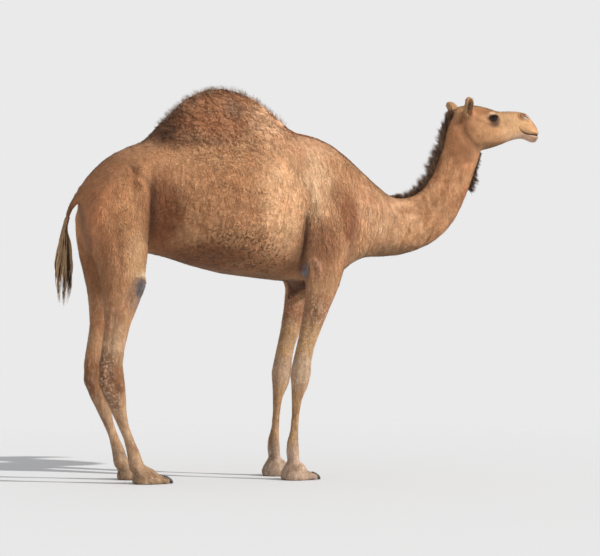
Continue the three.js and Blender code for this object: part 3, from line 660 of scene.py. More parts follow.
# How much, centre and radii of the dark speckles.
SPECKLED = rows("""
    1 | -460 260 1236 | 190 300 92; 0.75 | -480 240 1140 | 340 300 80; 0.35 | -230 260 1190 | 130 200 130;
    0.3 | -420 280 1690 | 220 200 90; 0.3 | -1000 200 1400 | 120 200 200
""")
FLECKED = cell("-1096 740 0.3, -1102 690 0.8, -1110 630 1, -1122 520 1, -1070 400 0.9, -1044 340 0.4")
PITS = cell("-600 1532, -500 1538, -420 1512, -310 1506")
MUZZLE_FRONT = cell("1348 0 2000 1, 1388 0 1966 1, 1414 0 1928 1, 1430 0 1888 1")


def lay(colour, points, markings):
    """Blends the markings into the colours, with ragged edges."""
    ragged = 0.22 * (fractal(points, 70, 3) - 0.5) + 0.16 * (fractal(points, 22, 5) - 0.5)
    for _, centre, radii, edge, shade, amount in markings:
        d = ellipsoid(points, centre, radii) + ragged
        colour = blend(colour, shade, amount * step(1.0 + edge, 1.0 - edge, d))
    return colour


def body_lines(colour, points, band):
    """The dark and pale lines of the body, the neck and the legs, with painted shade among them."""
    x, y, z = points.T
    side = step(60, 120, np.abs(y))
    # Painted shade in the groove and the hollow behind the upper arm.
    for path, amount, width in ((ARM_GROOVE, 0.9, 21), (ARM_HOLLOW, 0.5, 46)):
        d, w = along(points, path)
        colour = blend(colour, ARM_GROOVE_SHADE, amount * w * bell(d, width) * side)
    colour = blend(colour, NAPE_BROWN, 0.9 * step(30, 14, along(points, MANE_PATH)[0]))
    colour = blend(colour, THROAT_BROWN, 0.85 * step(34, 14, along(points, BEARD_PATH)[0]))
    # Painted shadow on the far arm's inner side, above a slanting edge.
    fold = step(-10, 14, z - 978 - 0.72 * (x - 16)) * step(150, 132, np.abs(y)) * step(1066, 1050, z)
    fold *= step(-130, -96, x) * step(200, 150, x)
    colour = blend(colour, ARM_FOLD_SHADOW, 0.92 * fold)
    colour = blend(colour, HOCK_BROWN, 0.6 * band * step(0.3, 0.6, fractal(points, 26, 65)))
    colour = blend(colour, NOSE_BROWN, 0.7 * step(32, 17, along(points, MUZZLE_FRONT)[0]))
    # Painted shade in the crease behind the jaw.
    shade_behind_jaw = bell(along(points, JAW_EDGE)[0], 17) * step(18, 50, np.abs(y)) * step(1990, 1940, z)
    colour = colour * (1 - 0.5 * shade_behind_jaw[:, None] * np.array([0.9, 1.05, 1.15]))
    d, w = along(points, path_of(BODY_STROKES, "crescent ahead of the elbow"))
    return blend(colour, CRESCENT_PINK, 0.7 * w * bell(d, 12) * step(120, 180, np.abs(y)))


def face_lines(colour, points):
    """The dark rims of the eyes, a painted highlight on the brows, painted shade in the mouth line, and the
    nostrils.
    """
    outside, across, rise, out, away = eye_opening(points)
    close = (away < 70) & (out > -4)
    reach = 1 + 0.35 * step(4, -8, rise) + 0.3 * step(-6, 14, across)
    for shade, width, amount in EYE_SHADOW:
        colour = blend(colour, shade, amount * bell(np.maximum(outside, 0), width * reach) * close)
    # A painted highlight on the brow ridge above the eye.
    brow = near(points, (1100, 95, 1981), (22, 40, 7)) + 0.5 * near(points, (1070, 95, 1970), (10, 40, 6))
    colour = blend(colour, BROW_HIGHLIGHT, 0.75 * np.minimum(brow, 1))
    colour = blend(colour, RIM_BLACK, 0.97 * (step(4.6, 1.4, outside) * close))
    # Painted shade in the mouth line, where the upper lip overhangs the lower.
    d, w = along(points, MOUTH)
    seen_from_side = along(points, [(p[0], p[2]) for p in MOUTH])[0]
    colour = blend(colour, MOUTH_SHADE, 0.95 * (step(5.6, 3.2, seen_from_side) * step(36, 30, d) * w))
    d, w = along(points, NOSTRIL)
    return blend(colour, SLIT_BROWN, 0.95 * (step(5.2, 2.4, d) * w * (np.abs(points[:, 1]) > 15)))


def paint(points):
    """The hide's colour at each point, with painted light and shade laid in, and its share of dark speckles,
    pale flecks, curl and bare skin.
    """
    x, y, z = points.T
    legs = step(1010, 900, z)
    head = in_head(points)
    colour = lay(np.tile(HIDE_COLOUR, (len(points), 1)), points, MARKINGS)
    colour = blend(colour, lay(np.tile(LEG_COLOUR, (len(points), 1)), points, LEG_MARKINGS), legs)
    colour = lay(colour, points, LEG_MARKINGS[-ABOVE_THE_LEGS:])
    d, w = along(points, FLECKED)
    band = step(50, 16, d) * w * step(138, 160, np.abs(y))
    colour = body_lines(colour, points, band)
    bare = np.zeros(len(points))
    for _, centre, radii, edge, shade, amount in CALLUSES:
        d = ellipsoid(points, centre, radii) + 0.5 * (fractal(points, 16, 9) - 0.5)
        w = amount * step(1 + edge, 1 - edge, d)
        colour = blend(colour, np.array(shade) * (0.1 + 1.8 * fractal(points, 11, 29))[:, None], w)
        bare = np.maximum(bare, w)
    colour = face_lines(colour, points)
    # Coarse clumps of hair differ a little in tone, and painted shade darkens the creases between them.
    for stretch, size, seed in ((0.45, 34, 11), (1.0, 120, 13)):
        colour = colour * (0.86 + 0.28 * fractal(points * np.array([1, 1, stretch]), size, seed))[:, None]
    colour = colour * creased(points)[0][:, None] ** CREASE_SHADE_TINT
    depth = 0.32 + 0.5 * step(430, 560, x) * (1 - head) + 0.45 * step(200, 130, z) - 0.14 * head
    mottle = (depth * (fractal(points * np.array([1, 1, 0.75]), 27, 61) - 0.5) * 1.5)[:, None]
    colour = colour * (1 + mottle * MOTTLE_TINT)
    warm = (fractal(points, 60, 17) - 0.5)[:, None] * WARM_TINT
    colour = np.clip(colour * (1 + warm), 0.004, 0.9)
    speckle = 0.12
    for amount, centre, radii in SPECKLED:
        speckle = speckle + amount * near(points, centre, radii)
    speckle += 0.8 * step(22, 8, along(points, PITS)[0])
    speckle += 0.22 * legs * step(-500, -300, x)
    speckle = np.clip(speckle, 0, 1) * (1 - head)
    patchy = step(0.45, 0.7, fractal(points * np.array([1, 1, 0.6]), 30, 19)) * legs
    patchy = patchy * step(800, 600, z + 0.4 * np.maximum(x + 400, 0))
    colour = blend(colour, colour * PATCH_TINT, 0.75 * patchy)
    pale = step(0.5, 0.72, fractal(points * np.array([1, 1, 0.7]), 15, 23)) * legs
    colour = blend(colour, LEG_CREAM, 0.24 * pale)
    fore = step(-500, -300, x) * step(1040, 960, z)
    fleck = 1.0 * band + 0.9 * fore * step(420, 560, z) + 0.4 * step(220, 140, z) + 0.15 * legs
    curl = near(points, (-450, 150, 1800), (400, 330, 260))
    curl = curl + 0.55 * near(points, (-400, 300, 1350), (420, 260, 260))
    return colour, np.stack([speckle, np.clip(fleck, 0, 1), np.clip(curl, 0, 1), bare], axis=1)


def colour_in(mesh, colour, marks):
    """Stores the markings on the mesh for the hide material to read."""
    for name, values in (("tone", np.c_[colour, np.ones(len(colour))]), ("marks", marks)):
        layer = mesh.color_attributes.new(name, "FLOAT_COLOR", "POINT")
        layer.data.foreach_set("color", values.astype(np.float32).ravel())


# ---------------------------------------------------------------- materials
class Nodes:
    """A material's nodes, made by short calls. A number or a socket may go into any input."""

    def __init__(self, name):
        self.material = bpy.data.materials.new(name)
        self.material.use_nodes = True
        self.tree = self.material.node_tree
        self.shader = self.tree.nodes["Principled BSDF"]

    def set(self, socket, value):
        if hasattr(value, "is_linked"):
            self.tree.links.new(value, socket)
        else:
            socket.default_value = value

    def make(self, kind, out=0, **inputs):
        node = self.tree.nodes.new("ShaderNode" + kind)
        for key, value in inputs.items():
            if key.startswith("_"):
                setattr(node, key[1:], value)
        for key, value in inputs.items():
            if not key.startswith("_"):
                place = int(key[1:]) if key[0] == "i" and key[1:].isdigit() else key.replace("__", " ")
                self.set(node.inputs[place], value)
        return node.outputs[out]

    def stored(self, name, out="Color"):
        return self.make("Attribute", out, _attribute_name=name)

    def here(self):
        return self.make("TexCoord", "Object")

    def scaled(self, vector, by):
        return self.make("VectorMath", _operation="MULTIPLY", i0=vector, i1=by)

    def noise(self, vector, scale, detail=2.0, twist=0.0):
        return self.make("TexNoise", "Fac", Vector=vector, Scale=scale, Detail=detail, Distortion=twist)

    def ramp(self, value, a, b, c=0.0, d=1.0):
        """c where value is a or less, d where it is b or more, smooth in between."""
        return self.make("MapRange", _interpolation_type="SMOOTHSTEP", i0=value, i1=a, i2=b, i3=c, i4=d)

    def sum(self, operation, a, b):
        return self.make("Math", _operation=operation, i0=a, i1=b)

    def times(self, a, b):
        return self.sum("MULTIPLY", a, b)

    def plus(self, a, b):
        return self.sum("ADD", a, b)

    def root_of_squares(self, a, b):
        return self.sum("SQRT", self.plus(self.times(a, a), self.times(b, b)), 0.0)

    def mix(self, amount, a, b):
        return self.make("Mix", 2, _data_type="RGBA", i0=amount, i6=a, i7=b)

    def parts(self, value, kind="Color"):
        node = self.tree.nodes.new("ShaderNodeSeparate" + kind)
        self.tree.links.new(value, node.inputs[0])
        return node.outputs

    def brightened(self, colour, by):
        """colour times the number by."""
        return self.make("VectorMath", _operation="SCALE", i0=colour, Scale=by)

    def bump(self, height, strength, distance, under=None):
        extra = {"Normal": under} if under is not None else {}
        return self.make("Bump", Height=height, Strength=strength, Distance=distance, **extra)

    def finish(self, **sockets):
        for key, value in sockets.items():
            self.set(self.shader.inputs[key.replace("__", " ")], value)
        return self.material


def hide_material(name, fuzz):
    """Short hair over hide. fuzz is 1 on the skin, where the hair is bump, and less on the tufts."""
    n = Nodes(name)
    spot = n.here()
    tone = n.stored("tone")
    speckle, fleck, curl = n.parts(n.stored("marks"))
    bare = n.stored("marks", "Alpha")
    streak = n.noise(n.scaled(spot, (1, 1, 0.32)), 210, 3.0)
    clump = n.noise(n.scaled(spot, (1, 1, 0.6)), 62, 3.0, 0.6)
    swirl = n.noise(spot, 74, 2.5, 2.2)
    fine = n.noise(spot, 620, 2.0)
    shade = n.times(n.ramp(streak, 0.25, 0.75, 0.90, 1.10), n.ramp(clump, 0.3, 0.7, 0.93, 1.07))
    red, green, blue = (n.ramp(swirl, 0.32, 0.62, low, 1.10) for low in (0.86, 0.84, 0.82))
    curled = n.mix(curl, (1, 1, 1, 1), n.make("CombineColor", i0=red, i1=green, i2=blue))
    colour = n.brightened(tone, n.times(shade, n.ramp(fine, 0.3, 0.7, 0.93, 1.07)))
    colour = n.make("VectorMath", _operation="MULTIPLY", i0=colour, i1=curled)
    coarse = n.ramp(n.noise(spot, 66, 2.0, 0.7), 0.545, 0.60)
    dots = n.plus(coarse, n.ramp(n.noise(spot, 118, 1.5, 0.7), 0.57, 0.63))
    dots = n.times(n.sum("MINIMUM", dots, 1.0), speckle)
    colour = n.mix(n.times(dots, 0.75), colour, (0.095, 0.042, 0.02, 1))
    pale = n.times(n.ramp(n.noise(spot, 95, 1.5, 0.8), 0.56, 0.65), fleck)
    colour = n.mix(n.times(pale, 0.6), colour, (0.66, 0.47, 0.32, 1))
    height = n.plus(n.times(streak, 0.6), n.times(fine, 0.25))
    height = n.plus(height, n.times(n.times(swirl, curl), 1.6))
    warts = n.make("TexVoronoi", "Distance", Vector=spot, Scale=230.0)
    height = n.plus(height, n.times(warts, bare))
    normal = n.bump(height, 0.75 * fuzz, 0.004)
    rough = n.ramp(streak, 0.3, 0.7, 0.72, 0.88)
    rough = n.sum("SUBTRACT", rough, n.times(bare, 0.16))
    return n.finish(
        Base__Color=colour, Roughness=rough, Normal=normal, Specular__IOR__Level=0.28,
        Sheen__Weight=0.12, Sheen__Roughness=0.5, Sheen__Tint=(1.0, 0.82, 0.62, 1),
    )


def horn_material():
    """Black horn with faint rings and pale chips."""
    n = Nodes("horn")
    spot = n.here()
    rings = n.noise(n.scaled(spot, (3.0, 0.5, 0.6)), 260, 3.0)
    chips = n.noise(spot, 420, 3.0)
    colour = n.mix(n.ramp(rings, 0.35, 0.7), (0.012, 0.010, 0.009, 1), (0.045, 0.034, 0.026, 1))
    colour = n.mix(n.times(n.ramp(chips, 0.6, 0.75), 0.5), colour, (0.17, 0.13, 0.10, 1))
    rough = n.ramp(chips, 0.3, 0.7, 0.36, 0.62)
    normal = n.bump(rings, 0.5, 0.0012)
    return n.finish(Base__Color=colour, Roughness=rough, Normal=normal, Specular__IOR__Level=0.5)


def eye_material():
    """A wet dark eye: black pupil wider than tall, streaked brown iris, dark ring, brownish white."""
    n = Nodes("eye")
    x, y, z = n.parts(n.here(), "XYZ")
    both = n.make("CombineXYZ", X=x, Y=n.make("Math", _operation="ABSOLUTE", i0=y), Z=z)
    middle = tuple(row([EYE])[0])
    q = n.make("VectorMath", _operation="SUBTRACT", i0=both, i1=middle)
    q = n.make("VectorMath", _operation="NORMALIZE", i0=q)
    across = n.make("VectorMath", "Value", _operation="DOT_PRODUCT", i0=q, i1=tuple(EYE_AHEAD))
    rise = n.make("VectorMath", "Value", _operation="DOT_PRODUCT", i0=q, i1=tuple(EYE_UP))
    out = n.root_of_squares(across, rise)
    pupil = n.root_of_squares(across, n.times(rise, 1.75))
    turn = n.make("Math", _operation="ARCTAN2", i0=rise, i1=across)
    rays = n.noise(n.make("CombineXYZ", X=n.times(turn, 3.0), Y=n.times(out, 2.0), Z=0.0), 6.0, 3.0)
    iris = n.mix(n.ramp(rays, 0.3, 0.7), (0.012, 0.006, 0.004, 1), (0.05, 0.022, 0.010, 1))
    colour = n.mix(n.ramp(pupil, 0.30, 0.36), (0.002, 0.002, 0.003, 1), iris)
    colour = n.mix(n.ramp(out, 0.60, 0.70), colour, (0.006, 0.004, 0.003, 1))
    colour = n.mix(n.ramp(out, 0.78, 0.86), colour, (0.06, 0.038, 0.028, 1))
    wet = {"Specular__IOR__Level": 0.2, "Coat__Weight": 0.3, "Coat__Roughness": 0.03}
    return n.finish(Base__Color=colour, Roughness=0.12, **wet)


HIDE = hide_material("hide", 1.0)
COAT = hide_material("coat", 0.35)
HORN = horn_material()
WET_EYE = eye_material()


# ---------------------------------------------------------------- skin, eyes, ears and nails
def eyeball(side):
    """A ball with a slightly raised clear front, as rings round the line of sight."""
    rings, around = 40, 64
    out, ahead, up, middle = np.array([EYE_OUT, EYE_AHEAD, EYE_UP, EYE]) * np.array([1, side, 1])
    a = np.linspace(0.0, math.pi, rings + 1)[:, None]
    turn = np.linspace(0, 2 * math.pi, around, endpoint=False)[None, :]
    radius = EYE_RADIUS + 1.3 * np.exp(-((a / 0.62) ** 4))
    p = middle + (radius * np.cos(a))[..., None] * out
    p = p + (radius * np.sin(a) * np.cos(turn))[..., None] * ahead
    p = p + (radius * np.sin(a) * np.sin(turn))[..., None] * up
    index = np.arange((rings + 1) * around).reshape(rings + 1, around)
    ahead_of = np.roll(index, -1, 1)
    q = np.stack([index[:-1], ahead_of[:-1], ahead_of[1:], index[1:]], axis=-1)
    if side > 0:
        q = q[..., ::-1]
    q = q.reshape(-1, 4)
    mesh = new_mesh("eyeball", p.reshape(-1, 3), q.ravel(), np.full(len(q), 4))
    bm = bmesh.new()
    bm.from_mesh(mesh)
    bmesh.ops.remove_doubles(bm, verts=bm.verts, dist=1e-6)
    bmesh.ops.recalc_face_normals(bm, faces=bm.faces)
    for face in bm.faces:
        face.smooth = True
    bm.to_mesh(mesh)
    bm.free()
    return mesh


EAR_BASE = np.array([954.0, 68.0, 1962.0])
EAR_TIP = np.array([930.0, 144.0, 2062.0])
EAR_SPREAD = 1.22  # the skin's ears are this much wider than the solids'
EAR_TURN = 36.0  # and turned outwards by this many degrees


def ear_meshes():
    """Both ears, thin and cupped, with their lower ends sunk into the head."""
    made = remeshed(EARS, EAR_VOXEL)
    p = places(made)
    p = relax(p, read(made, "edges", "vertices", np.int32, 2), 0.35, 9)
    line = unit((EAR_TIP - EAR_BASE)[None])[0]
    length = np.linalg.norm(EAR_TIP - EAR_BASE)
    q = mirrored(p)
    t = (q - EAR_BASE) @ line / length
    axis_x = EAR_BASE[0] + (EAR_TIP - EAR_BASE)[0] * t
    q[:, 0] = axis_x + EAR_SPREAD * (q[:, 0] - axis_x)
    rod = EAR_BASE + line * ((q - EAR_BASE) @ line)[:, None]
    spin = math.radians(EAR_TURN)
    q = rod + (q - rod) * math.cos(spin) + np.cross(line, q - rod) * math.sin(spin)
    q = q - line * (9.0 * step(0.34, 0.16, t) + 9.0 * step(0.72, 1.0, t))[:, None]
    q[:, 0] += 6.0 * step(0.15, 0.45, t) - 9.0 * step(0.6, 1.0, t)
    q[:, 1] *= np.sign(p[:, 1])
    put(made, q)
    return made, t


def merged(meshes):
    """Several meshes as one."""
    bm = bmesh.new()
    for mesh in meshes:
        bm.from_mesh(mesh)
    out = bpy.data.meshes.new("skin")
    bm.to_mesh(out)
    bm.free()
    return out


# The second colour is painted shade for deep inside the ear's hollow.
EAR_SHADE, PAINTED_EAR_SHADOW = (0.52, 0.30, 0.15), (0.045, 0.022, 0.014)
EAR_COAT_SHADE = (0.50, 0.285, 0.14)
EAR_HOLLOW = np.array([0.46, 0.73, 0.0])  # which way the hollow side of the left ear faces
NAIL_LONG, NAIL_WIDE, NAIL_TALL = 1.5, 1.2, 1.34  # the horn's size over the solid nail's

ear_mesh, ear_height = ear_meshes()
ear_points = places(ear_mesh)
skin_points = places(skin)
skin_colour, skin_marks = paint(skin_points)
ear_colour, ear_marks = paint(ear_points)
ear_facing = mirrored(facing(ear_mesh))
ear_facing[:, 1] = facing(ear_mesh)[:, 1] * np.sign(ear_points[:, 1])
inside_ear = step(0.12, 0.5, ear_facing @ unit(EAR_HOLLOW[None])[0]) * step(0.1, 0.3, ear_height)
# Painted shade deep inside the ear's hollow side.
ear_hollow_shadow = inside_ear * step(0.80, 0.55, ear_height)
ear_tone = np.array(EAR_SHADE) * (0.8 + 0.4 * fractal(ear_points, 18, 21))[:, None]
ear_tone = blend(ear_tone, PAINTED_EAR_SHADOW, 0.93 * ear_hollow_shadow)
ear_colour = blend(ear_colour, ear_tone, step(0.1, 0.3, ear_height))
colour_in(skin, skin_colour, skin_marks)
colour_in(ear_mesh, ear_colour, ear_marks)
whole_skin = merged([skin, ear_mesh])
smooth(whole_skin)
skin_piece = shown("skin", whole_skin, HIDE)
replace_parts(skin_piece, *FLESH, *EARS)
for side, name in ((1, "left"), (-1, "right")):
    ball = shown(f"eyeball_{name}", eyeball(side), WET_EYE)
    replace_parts(ball, f"eye_{name}")
for name in NAILS:
    nail = remeshed([name], 1.5)
    nail_edges = read(nail, "edges", "vertices", np.int32, 2)
    nail_points = relax(places(nail), nail_edges, 0.4, 4)
    tip, floor_gap, centre_y = nail_points[:, 0].max(), nail_points[:, 2].min(), nail_points[:, 1].mean()
    nail_points[:, 0] = tip - NAIL_LONG * (tip - nail_points[:, 0]) + 1.0
    nail_points[:, 1] = centre_y + NAIL_WIDE * (nail_points[:, 1] - centre_y)
    nail_points[:, 2] = 1.0 + NAIL_TALL * (nail_points[:, 2] - floor_gap)
    put(nail, nail_points)
    smooth(nail)
    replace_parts(shown(name + "_horn", nail, HORN), name)


# ---------------------------------------------------------------- coat
# The lie of the coat on the +Y side: place, and which way the hair runs there.
LIE = rows("""
    1400 20 1900 | -1 0.2 0.3; 1340 45 1960 | -1 0.1 0.15; 1250 30 2000 | -1 0.05 0.15;
    1240 60 1900 | -1 0.05 -0.2; 1120 30 2040 | -1 0.2 0.1; 1100 90 1900 | -0.8 0.1 -0.6;
    1150 50 1830 | -0.95 0 -0.2; 1010 80 1900 | -0.5 0.1 -0.9; 1000 60 2020 | -1 0.3 -0.1;
    950 80 1850 | -0.3 0 -1; 900 0 1700 | -0.35 0 -1; 820 80 1520 | -0.6 0 -0.8; 960 0 1500 | -0.5 0 -0.9;
    680 90 1400 | -0.7 0 -0.7; 520 110 1360 | -0.45 0 -0.9; 380 0 1560 | -0.9 0.2 0.1;
    560 0 1220 | -0.9 0.1 0.1; 240 160 1450 | -0.15 0 -1; 40 200 1600 | -0.35 0 -0.95;
    60 60 1800 | -0.9 0.45 -0.1; 100 200 1250 | -0.1 0 -1; 260 0 1250 | 0 0.3 -1;
    -300 260 1600 | -0.6 0 -0.8; -300 290 1350 | -0.75 0 -0.65; -350 60 1060 | -1 0.1 0;
    -640 270 1450 | -0.65 0 -0.75; -640 200 1150 | -0.9 0 -0.3; -820 210 1380 | -0.5 0 -0.85;
    -440 0 2070 | -0.6 0.7 0; -440 150 1950 | -0.4 0.3 -0.9; -200 60 1950 | 0.2 0.4 -0.9;
    -700 60 1900 | -0.8 0.2 -0.6; -1000 60 1720 | -0.9 0.4 -0.2; -1080 180 1550 | -0.4 0.1 -0.9;
    -1180 60 1400 | -0.2 0.2 -1; -1010 230 1250 | -0.1 0 -1; 0 152 800 | 0 0 -1; -90 152 300 | 0 0 -1;
    -1030 152 800 | 0 0 -1; -1000 152 300 | 0 0 -1; -60 152 60 | 0.5 0 -0.85; -880 152 60 | 0.5 0 -0.85;
    -1230 0 1450 | -0.5 0 -0.85
""")


def dots(a, b):
    return np.sum(a * b, axis=-1, keepdims=True)


def lie(points, normals):
    """Which way the coat runs at each point, along the skin."""
    q = mirrored(points)
    way = np.zeros_like(q)
    for place, run in LIE:
        gap = np.sum((q - np.array(place)) ** 2, axis=1) + 50.0**2
        way += unit(np.array([run])) / (gap**2)[:, None]
    way = unit(way)
    way[:, 1] *= np.sign(points[:, 1])
    return unit(way - normals * dots(way, normals))


def turned(way, normals, angle):
    return way * np.cos(angle)[:, None] + np.cross(normals, way) * np.sin(angle)[:, None]


def scatter(mesh, density, rng):
    """Random places on the mesh with their normals. density is per mm2, at each of its points."""
    mesh.calc_loop_triangles()
    corners = read(mesh, "loop_triangles", "vertices", np.int32, 3)
    p, n = places(mesh), facing(mesh)
    a, b, c = p[corners[:, 0]], p[corners[:, 1]], p[corners[:, 2]]
    area = 0.5 * np.linalg.norm(np.cross(b - a, c - a), axis=1)
    wanted = area * density[corners].mean(axis=1)
    times = np.floor(wanted + rng.random(len(wanted))).astype(int)
    chosen = np.repeat(np.arange(len(times)), times)
    u, v = rng.random((2, len(chosen)))
    over = u + v > 1
    u, v = np.where(over, 1 - u, u), np.where(over, 1 - v, v)
    w = np.stack([1 - u - v, u, v], axis=1)[..., None]
    picked = corners[chosen]
    return (p[picked] * w).sum(axis=1), unit((n[picked] * w).sum(axis=1))


def unwrap(points, normals):
    """Places in the unit square for points of the skin: six flat charts, by which way the skin faces."""
    axis = np.argmax(np.abs(normals), axis=1)
    chart = 2 * axis + (normals[np.arange(len(axis)), axis] > 0)
    flat = np.where((axis == 0)[:, None], points[:, 1:], points[:, [0, 2]])
    flat = np.where((axis == 2)[:, None], points[:, :2], flat)
    used = [c for c in range(6) if (chart == c).any()]
    lows = {c: flat[chart == c].min(axis=0) - 12 for c in used}
    sizes = {c: flat[chart == c].max(axis=0) + 12 - lows[c] for c in used}
    used.sort(key=lambda c: -sizes[c][1])
    best = None
    for wide in np.linspace(1.0, 3.0, 21) * max(size[0] for size in sizes.values()):
        x = y = tall = 0.0
        spots = {}
        for c in used:
            if x and x + sizes[c][0] > wide:
                x, y, tall = 0.0, y + tall, 0.0
            spots[c] = (x, y)
            x, tall = x + sizes[c][0], max(tall, sizes[c][1])
        if best is None or max(wide, y + tall) < best[0]:
            best = (max(wide, y + tall), spots)
    whole, spots = best
    out = np.zeros((len(points), 2))
    for c in used:
        out[chart == c] = (flat[chart == c] - lows[c] + np.array(spots[c])) / whole
    return out


COAT_GAIN = 1.2  # the coat shades itself, so its colour is lighter than the bare skin's
PATCH = 0.003  # width of a tuft's patch in the OFBake map
SOFT_ROUND = 0.32  # how rounded a tuft is shaded from edge to edge


def ribbons(name, material, centre, side, facing_way, width, taper, colour, shades, marks, spot):
    """Many pointed strips as one piece. centre is (strip, level, xyz); the last level is the strip's tip."""
    count, levels = centre.shape[:2]
    body = levels - 1
    half = 0.5 * width[:, None] * np.array(taper[:body])[None]
    edge = side[:, :body] * half[..., None]
    pairs = np.stack([centre[:, :body] - edge, centre[:, :body] + edge], axis=2).reshape(count, 2 * body, 3)
    points = np.concatenate([pairs, centre[:, body:]], axis=1)
    points[..., 2] = np.maximum(points[..., 2], 0.3)
    lean = np.stack([facing_way - SOFT_ROUND * side[:, 0], facing_way + SOFT_ROUND * side[:, 0]], axis=1)
    normals = np.concatenate([np.tile(lean, (1, body, 1)), facing_way[:, None]], axis=1).reshape(-1, 3)
    one = sum([[2 * k, 2 * k + 1, 2 * k + 3, 2 * k + 2] for k in range(body - 1)], [])
    one += [2 * body - 2, 2 * body - 1, 2 * body]
    start = np.arange(count)[:, None] * (2 * body + 1)
    corners = (start + np.array(one)[None]).ravel()
    mesh = new_mesh(name, points.reshape(-1, 3), corners, np.tile([4] * (body - 1) + [3], count))
    level = np.repeat(np.arange(body), 2).tolist() + [body]
    shade = np.array(shades)[level]
    tone = (colour[:, None] * shade[None, :, None]).reshape(-1, 3)
    colour_in(mesh, tone, np.repeat(marks, 2 * body + 1, axis=0))
    across = np.array([-1, 1] * body + [0]) * 0.5 * PATCH
    up = (np.array(level) / body - 0.5) * PATCH
    where = (spot[:, None] + np.stack([across, up], axis=1)[None]).reshape(-1, 2)
    layer = mesh.uv_layers.new(name="OFBake")
    layer.uv.foreach_set("vector", where[corners].astype(np.float32).ravel())
    mesh.normals_split_custom_set_from_vertices(unit(normals).tolist())
    print(name, count, "strips,", count * (2 * body - 1), "triangles")
    return shown(name, mesh, material)


def lying(root, normal, way, length, lift, curl, levels):
    """Centre lines and side directions of hair that lies along the skin, and bends sideways by curl."""
    count = len(root)
    centre = np.zeros((count, levels, 3))
    side = np.zeros((count, levels, 3))
    here = root - normal * 0.7
    centre[:, 0] = here
    flat = root
    for k in range(1, levels):
        u = k / (levels - 1)
        run = turned(way, normal, curl * (u - 0.5 / (levels - 1)))
        flat = flat + run * (length / (levels - 1))[:, None]
        centre[:, k] = flat + normal * (lift * (1 - (1 - u) ** 1.7) - 0.7 * (1 - u))[:, None]
        side[:, k] = np.cross(run, normal)
    side[:, 0] = side[:, 1]
    return centre, side


def coat_plan(points):
    """Length, width, lift, curl and how many tufts lie over each other."""
    x, y, z = points.T
    woolly = near(points, (-450, 0, 1880), (430, 360, 240), 0.5)
    neck = step(300, 480, x)
    legs = step(1060, 940, z)
    feet = step(190, 110, z)
    head = in_head(points) * 1.0
    muzzle = head * step(1180, 1320, x)
    plan = np.tile((17.0, 3.3, 3.4, 0.35, 1.75), (len(points), 1))
    for share, values in (
        (woolly, (18.0, 3.6, 5.4, 0.9, 1.7)),
        (neck, (14.0, 2.8, 3.2, 0.3, 1.7)),
        (legs, (10.0, 2.2, 2.2, 0.25, 1.35)),
        (feet, (7.5, 1.8, 1.5, 0.25, 1.25)),
        (in_tail(points), (14.0, 2.6, 2.0, 0.2, 1.6)),
        (head, (8.0, 1.7, 1.5, 0.2, 1.5)),
        (muzzle, (5.5, 1.35, 1.0, 0.15, 1.2)),
    ):
        plan = blend(plan, values, share)
    return plan


def bare_places(points, normals, marks):
    """1 where the coat grows, 0 on the eyes, nostrils, lips, pads and soles."""
    outside, across, rise, out, away = eye_opening(points)
    grows = np.where((away < 60) & (out > 0), step(0.8, 3.0, outside), 1.0)
    d, w = along(points, MOUTH)
    grows *= 1 - step(8.5, 5.5, d) * step(0.4, 0.6, w)
    d, w = along(points, NOSTRIL)
    grows *= 1 - step(6.5, 4.0, d) * step(0.3, 0.5, w) * (np.abs(points[:, 1]) > 15) * in_head(points)
    grows *= step(0.55, 0.25, marks[:, 3])
    return grows * step(-0.75, -0.4, normals[:, 2] + 0.02 * np.maximum(points[:, 2] - 22, 0))


rng = np.random.default_rng(SEED)


def cover(name, mesh, density, material, levels, taper, shades, extra=None):
    """One piece of lying coat where density is more than 0."""
    root, normal = scatter(mesh, density, rng)
    count = len(root)
    plan = coat_plan(root)
    length, width, lift, curl, _ = plan.T
    if extra:
        length, width, lift, curl = extra(length, width, lift, curl)
    colour, marks = paint(root)
    way = lie(root, normal)
    swirl = fractal(root, 46, 41) - 0.5
    way = turned(way, normal, 2.4 * curl * swirl + 0.35 * curl * rng.normal(size=count))
    across = np.cross(normal, way)
    _, deep, stand = creased(root)
    ahead = relief(root + way * 3.5) - stand
    beside = relief(root + across * 3.5) - stand
    tilt = normal - way * (ahead * deep / 3.5)[:, None] - across * (beside * deep / 3.5)[:, None]
    tilt = unit(tilt + rng.normal(size=(count, 3)) * 0.07)
    size = rng.uniform(0.72, 1.25, count)
    bend = curl * 1.6 * np.sign(noise(root, 30, 51) - 0.5) * rng.uniform(0.4, 1.2, count)
    rise = lift * 0.55 + deep * (stand - 0.35) + lift * rng.uniform(0.0, 0.5, count)
    centre, side = lying(root, normal, way, length * size, np.maximum(rise, 0.5), bend, levels)
    colour = colour * COAT_GAIN * rng.uniform(0.91, 1.09, count)[:, None]
    width, spot = width * size, unwrap(root, normal)
    return ribbons(name, material, centre, side, tilt, width, taper, colour, shades, marks, spot)


def hair_material():
    """Long hair: its stored shade with thin streaks."""
    n = Nodes("hair")
    spot = n.here()
    streak = n.noise(n.scaled(spot, (1, 1, 0.25)), 420, 3.0)
    colour = n.brightened(n.stored("tone"), n.ramp(streak, 0.3, 0.7, 0.7, 1.3))
    rough = n.ramp(streak, 0.3, 0.7, 0.5, 0.72)
    normal = n.bump(streak, 0.3, 0.001)
    soft = {"Specular__IOR__Level": 0.4, "Sheen__Weight": 0.1, "Sheen__Roughness": 0.4}
    return n.finish(Base__Color=colour, Roughness=rough, Normal=normal, **soft)


HAIR = hair_material()


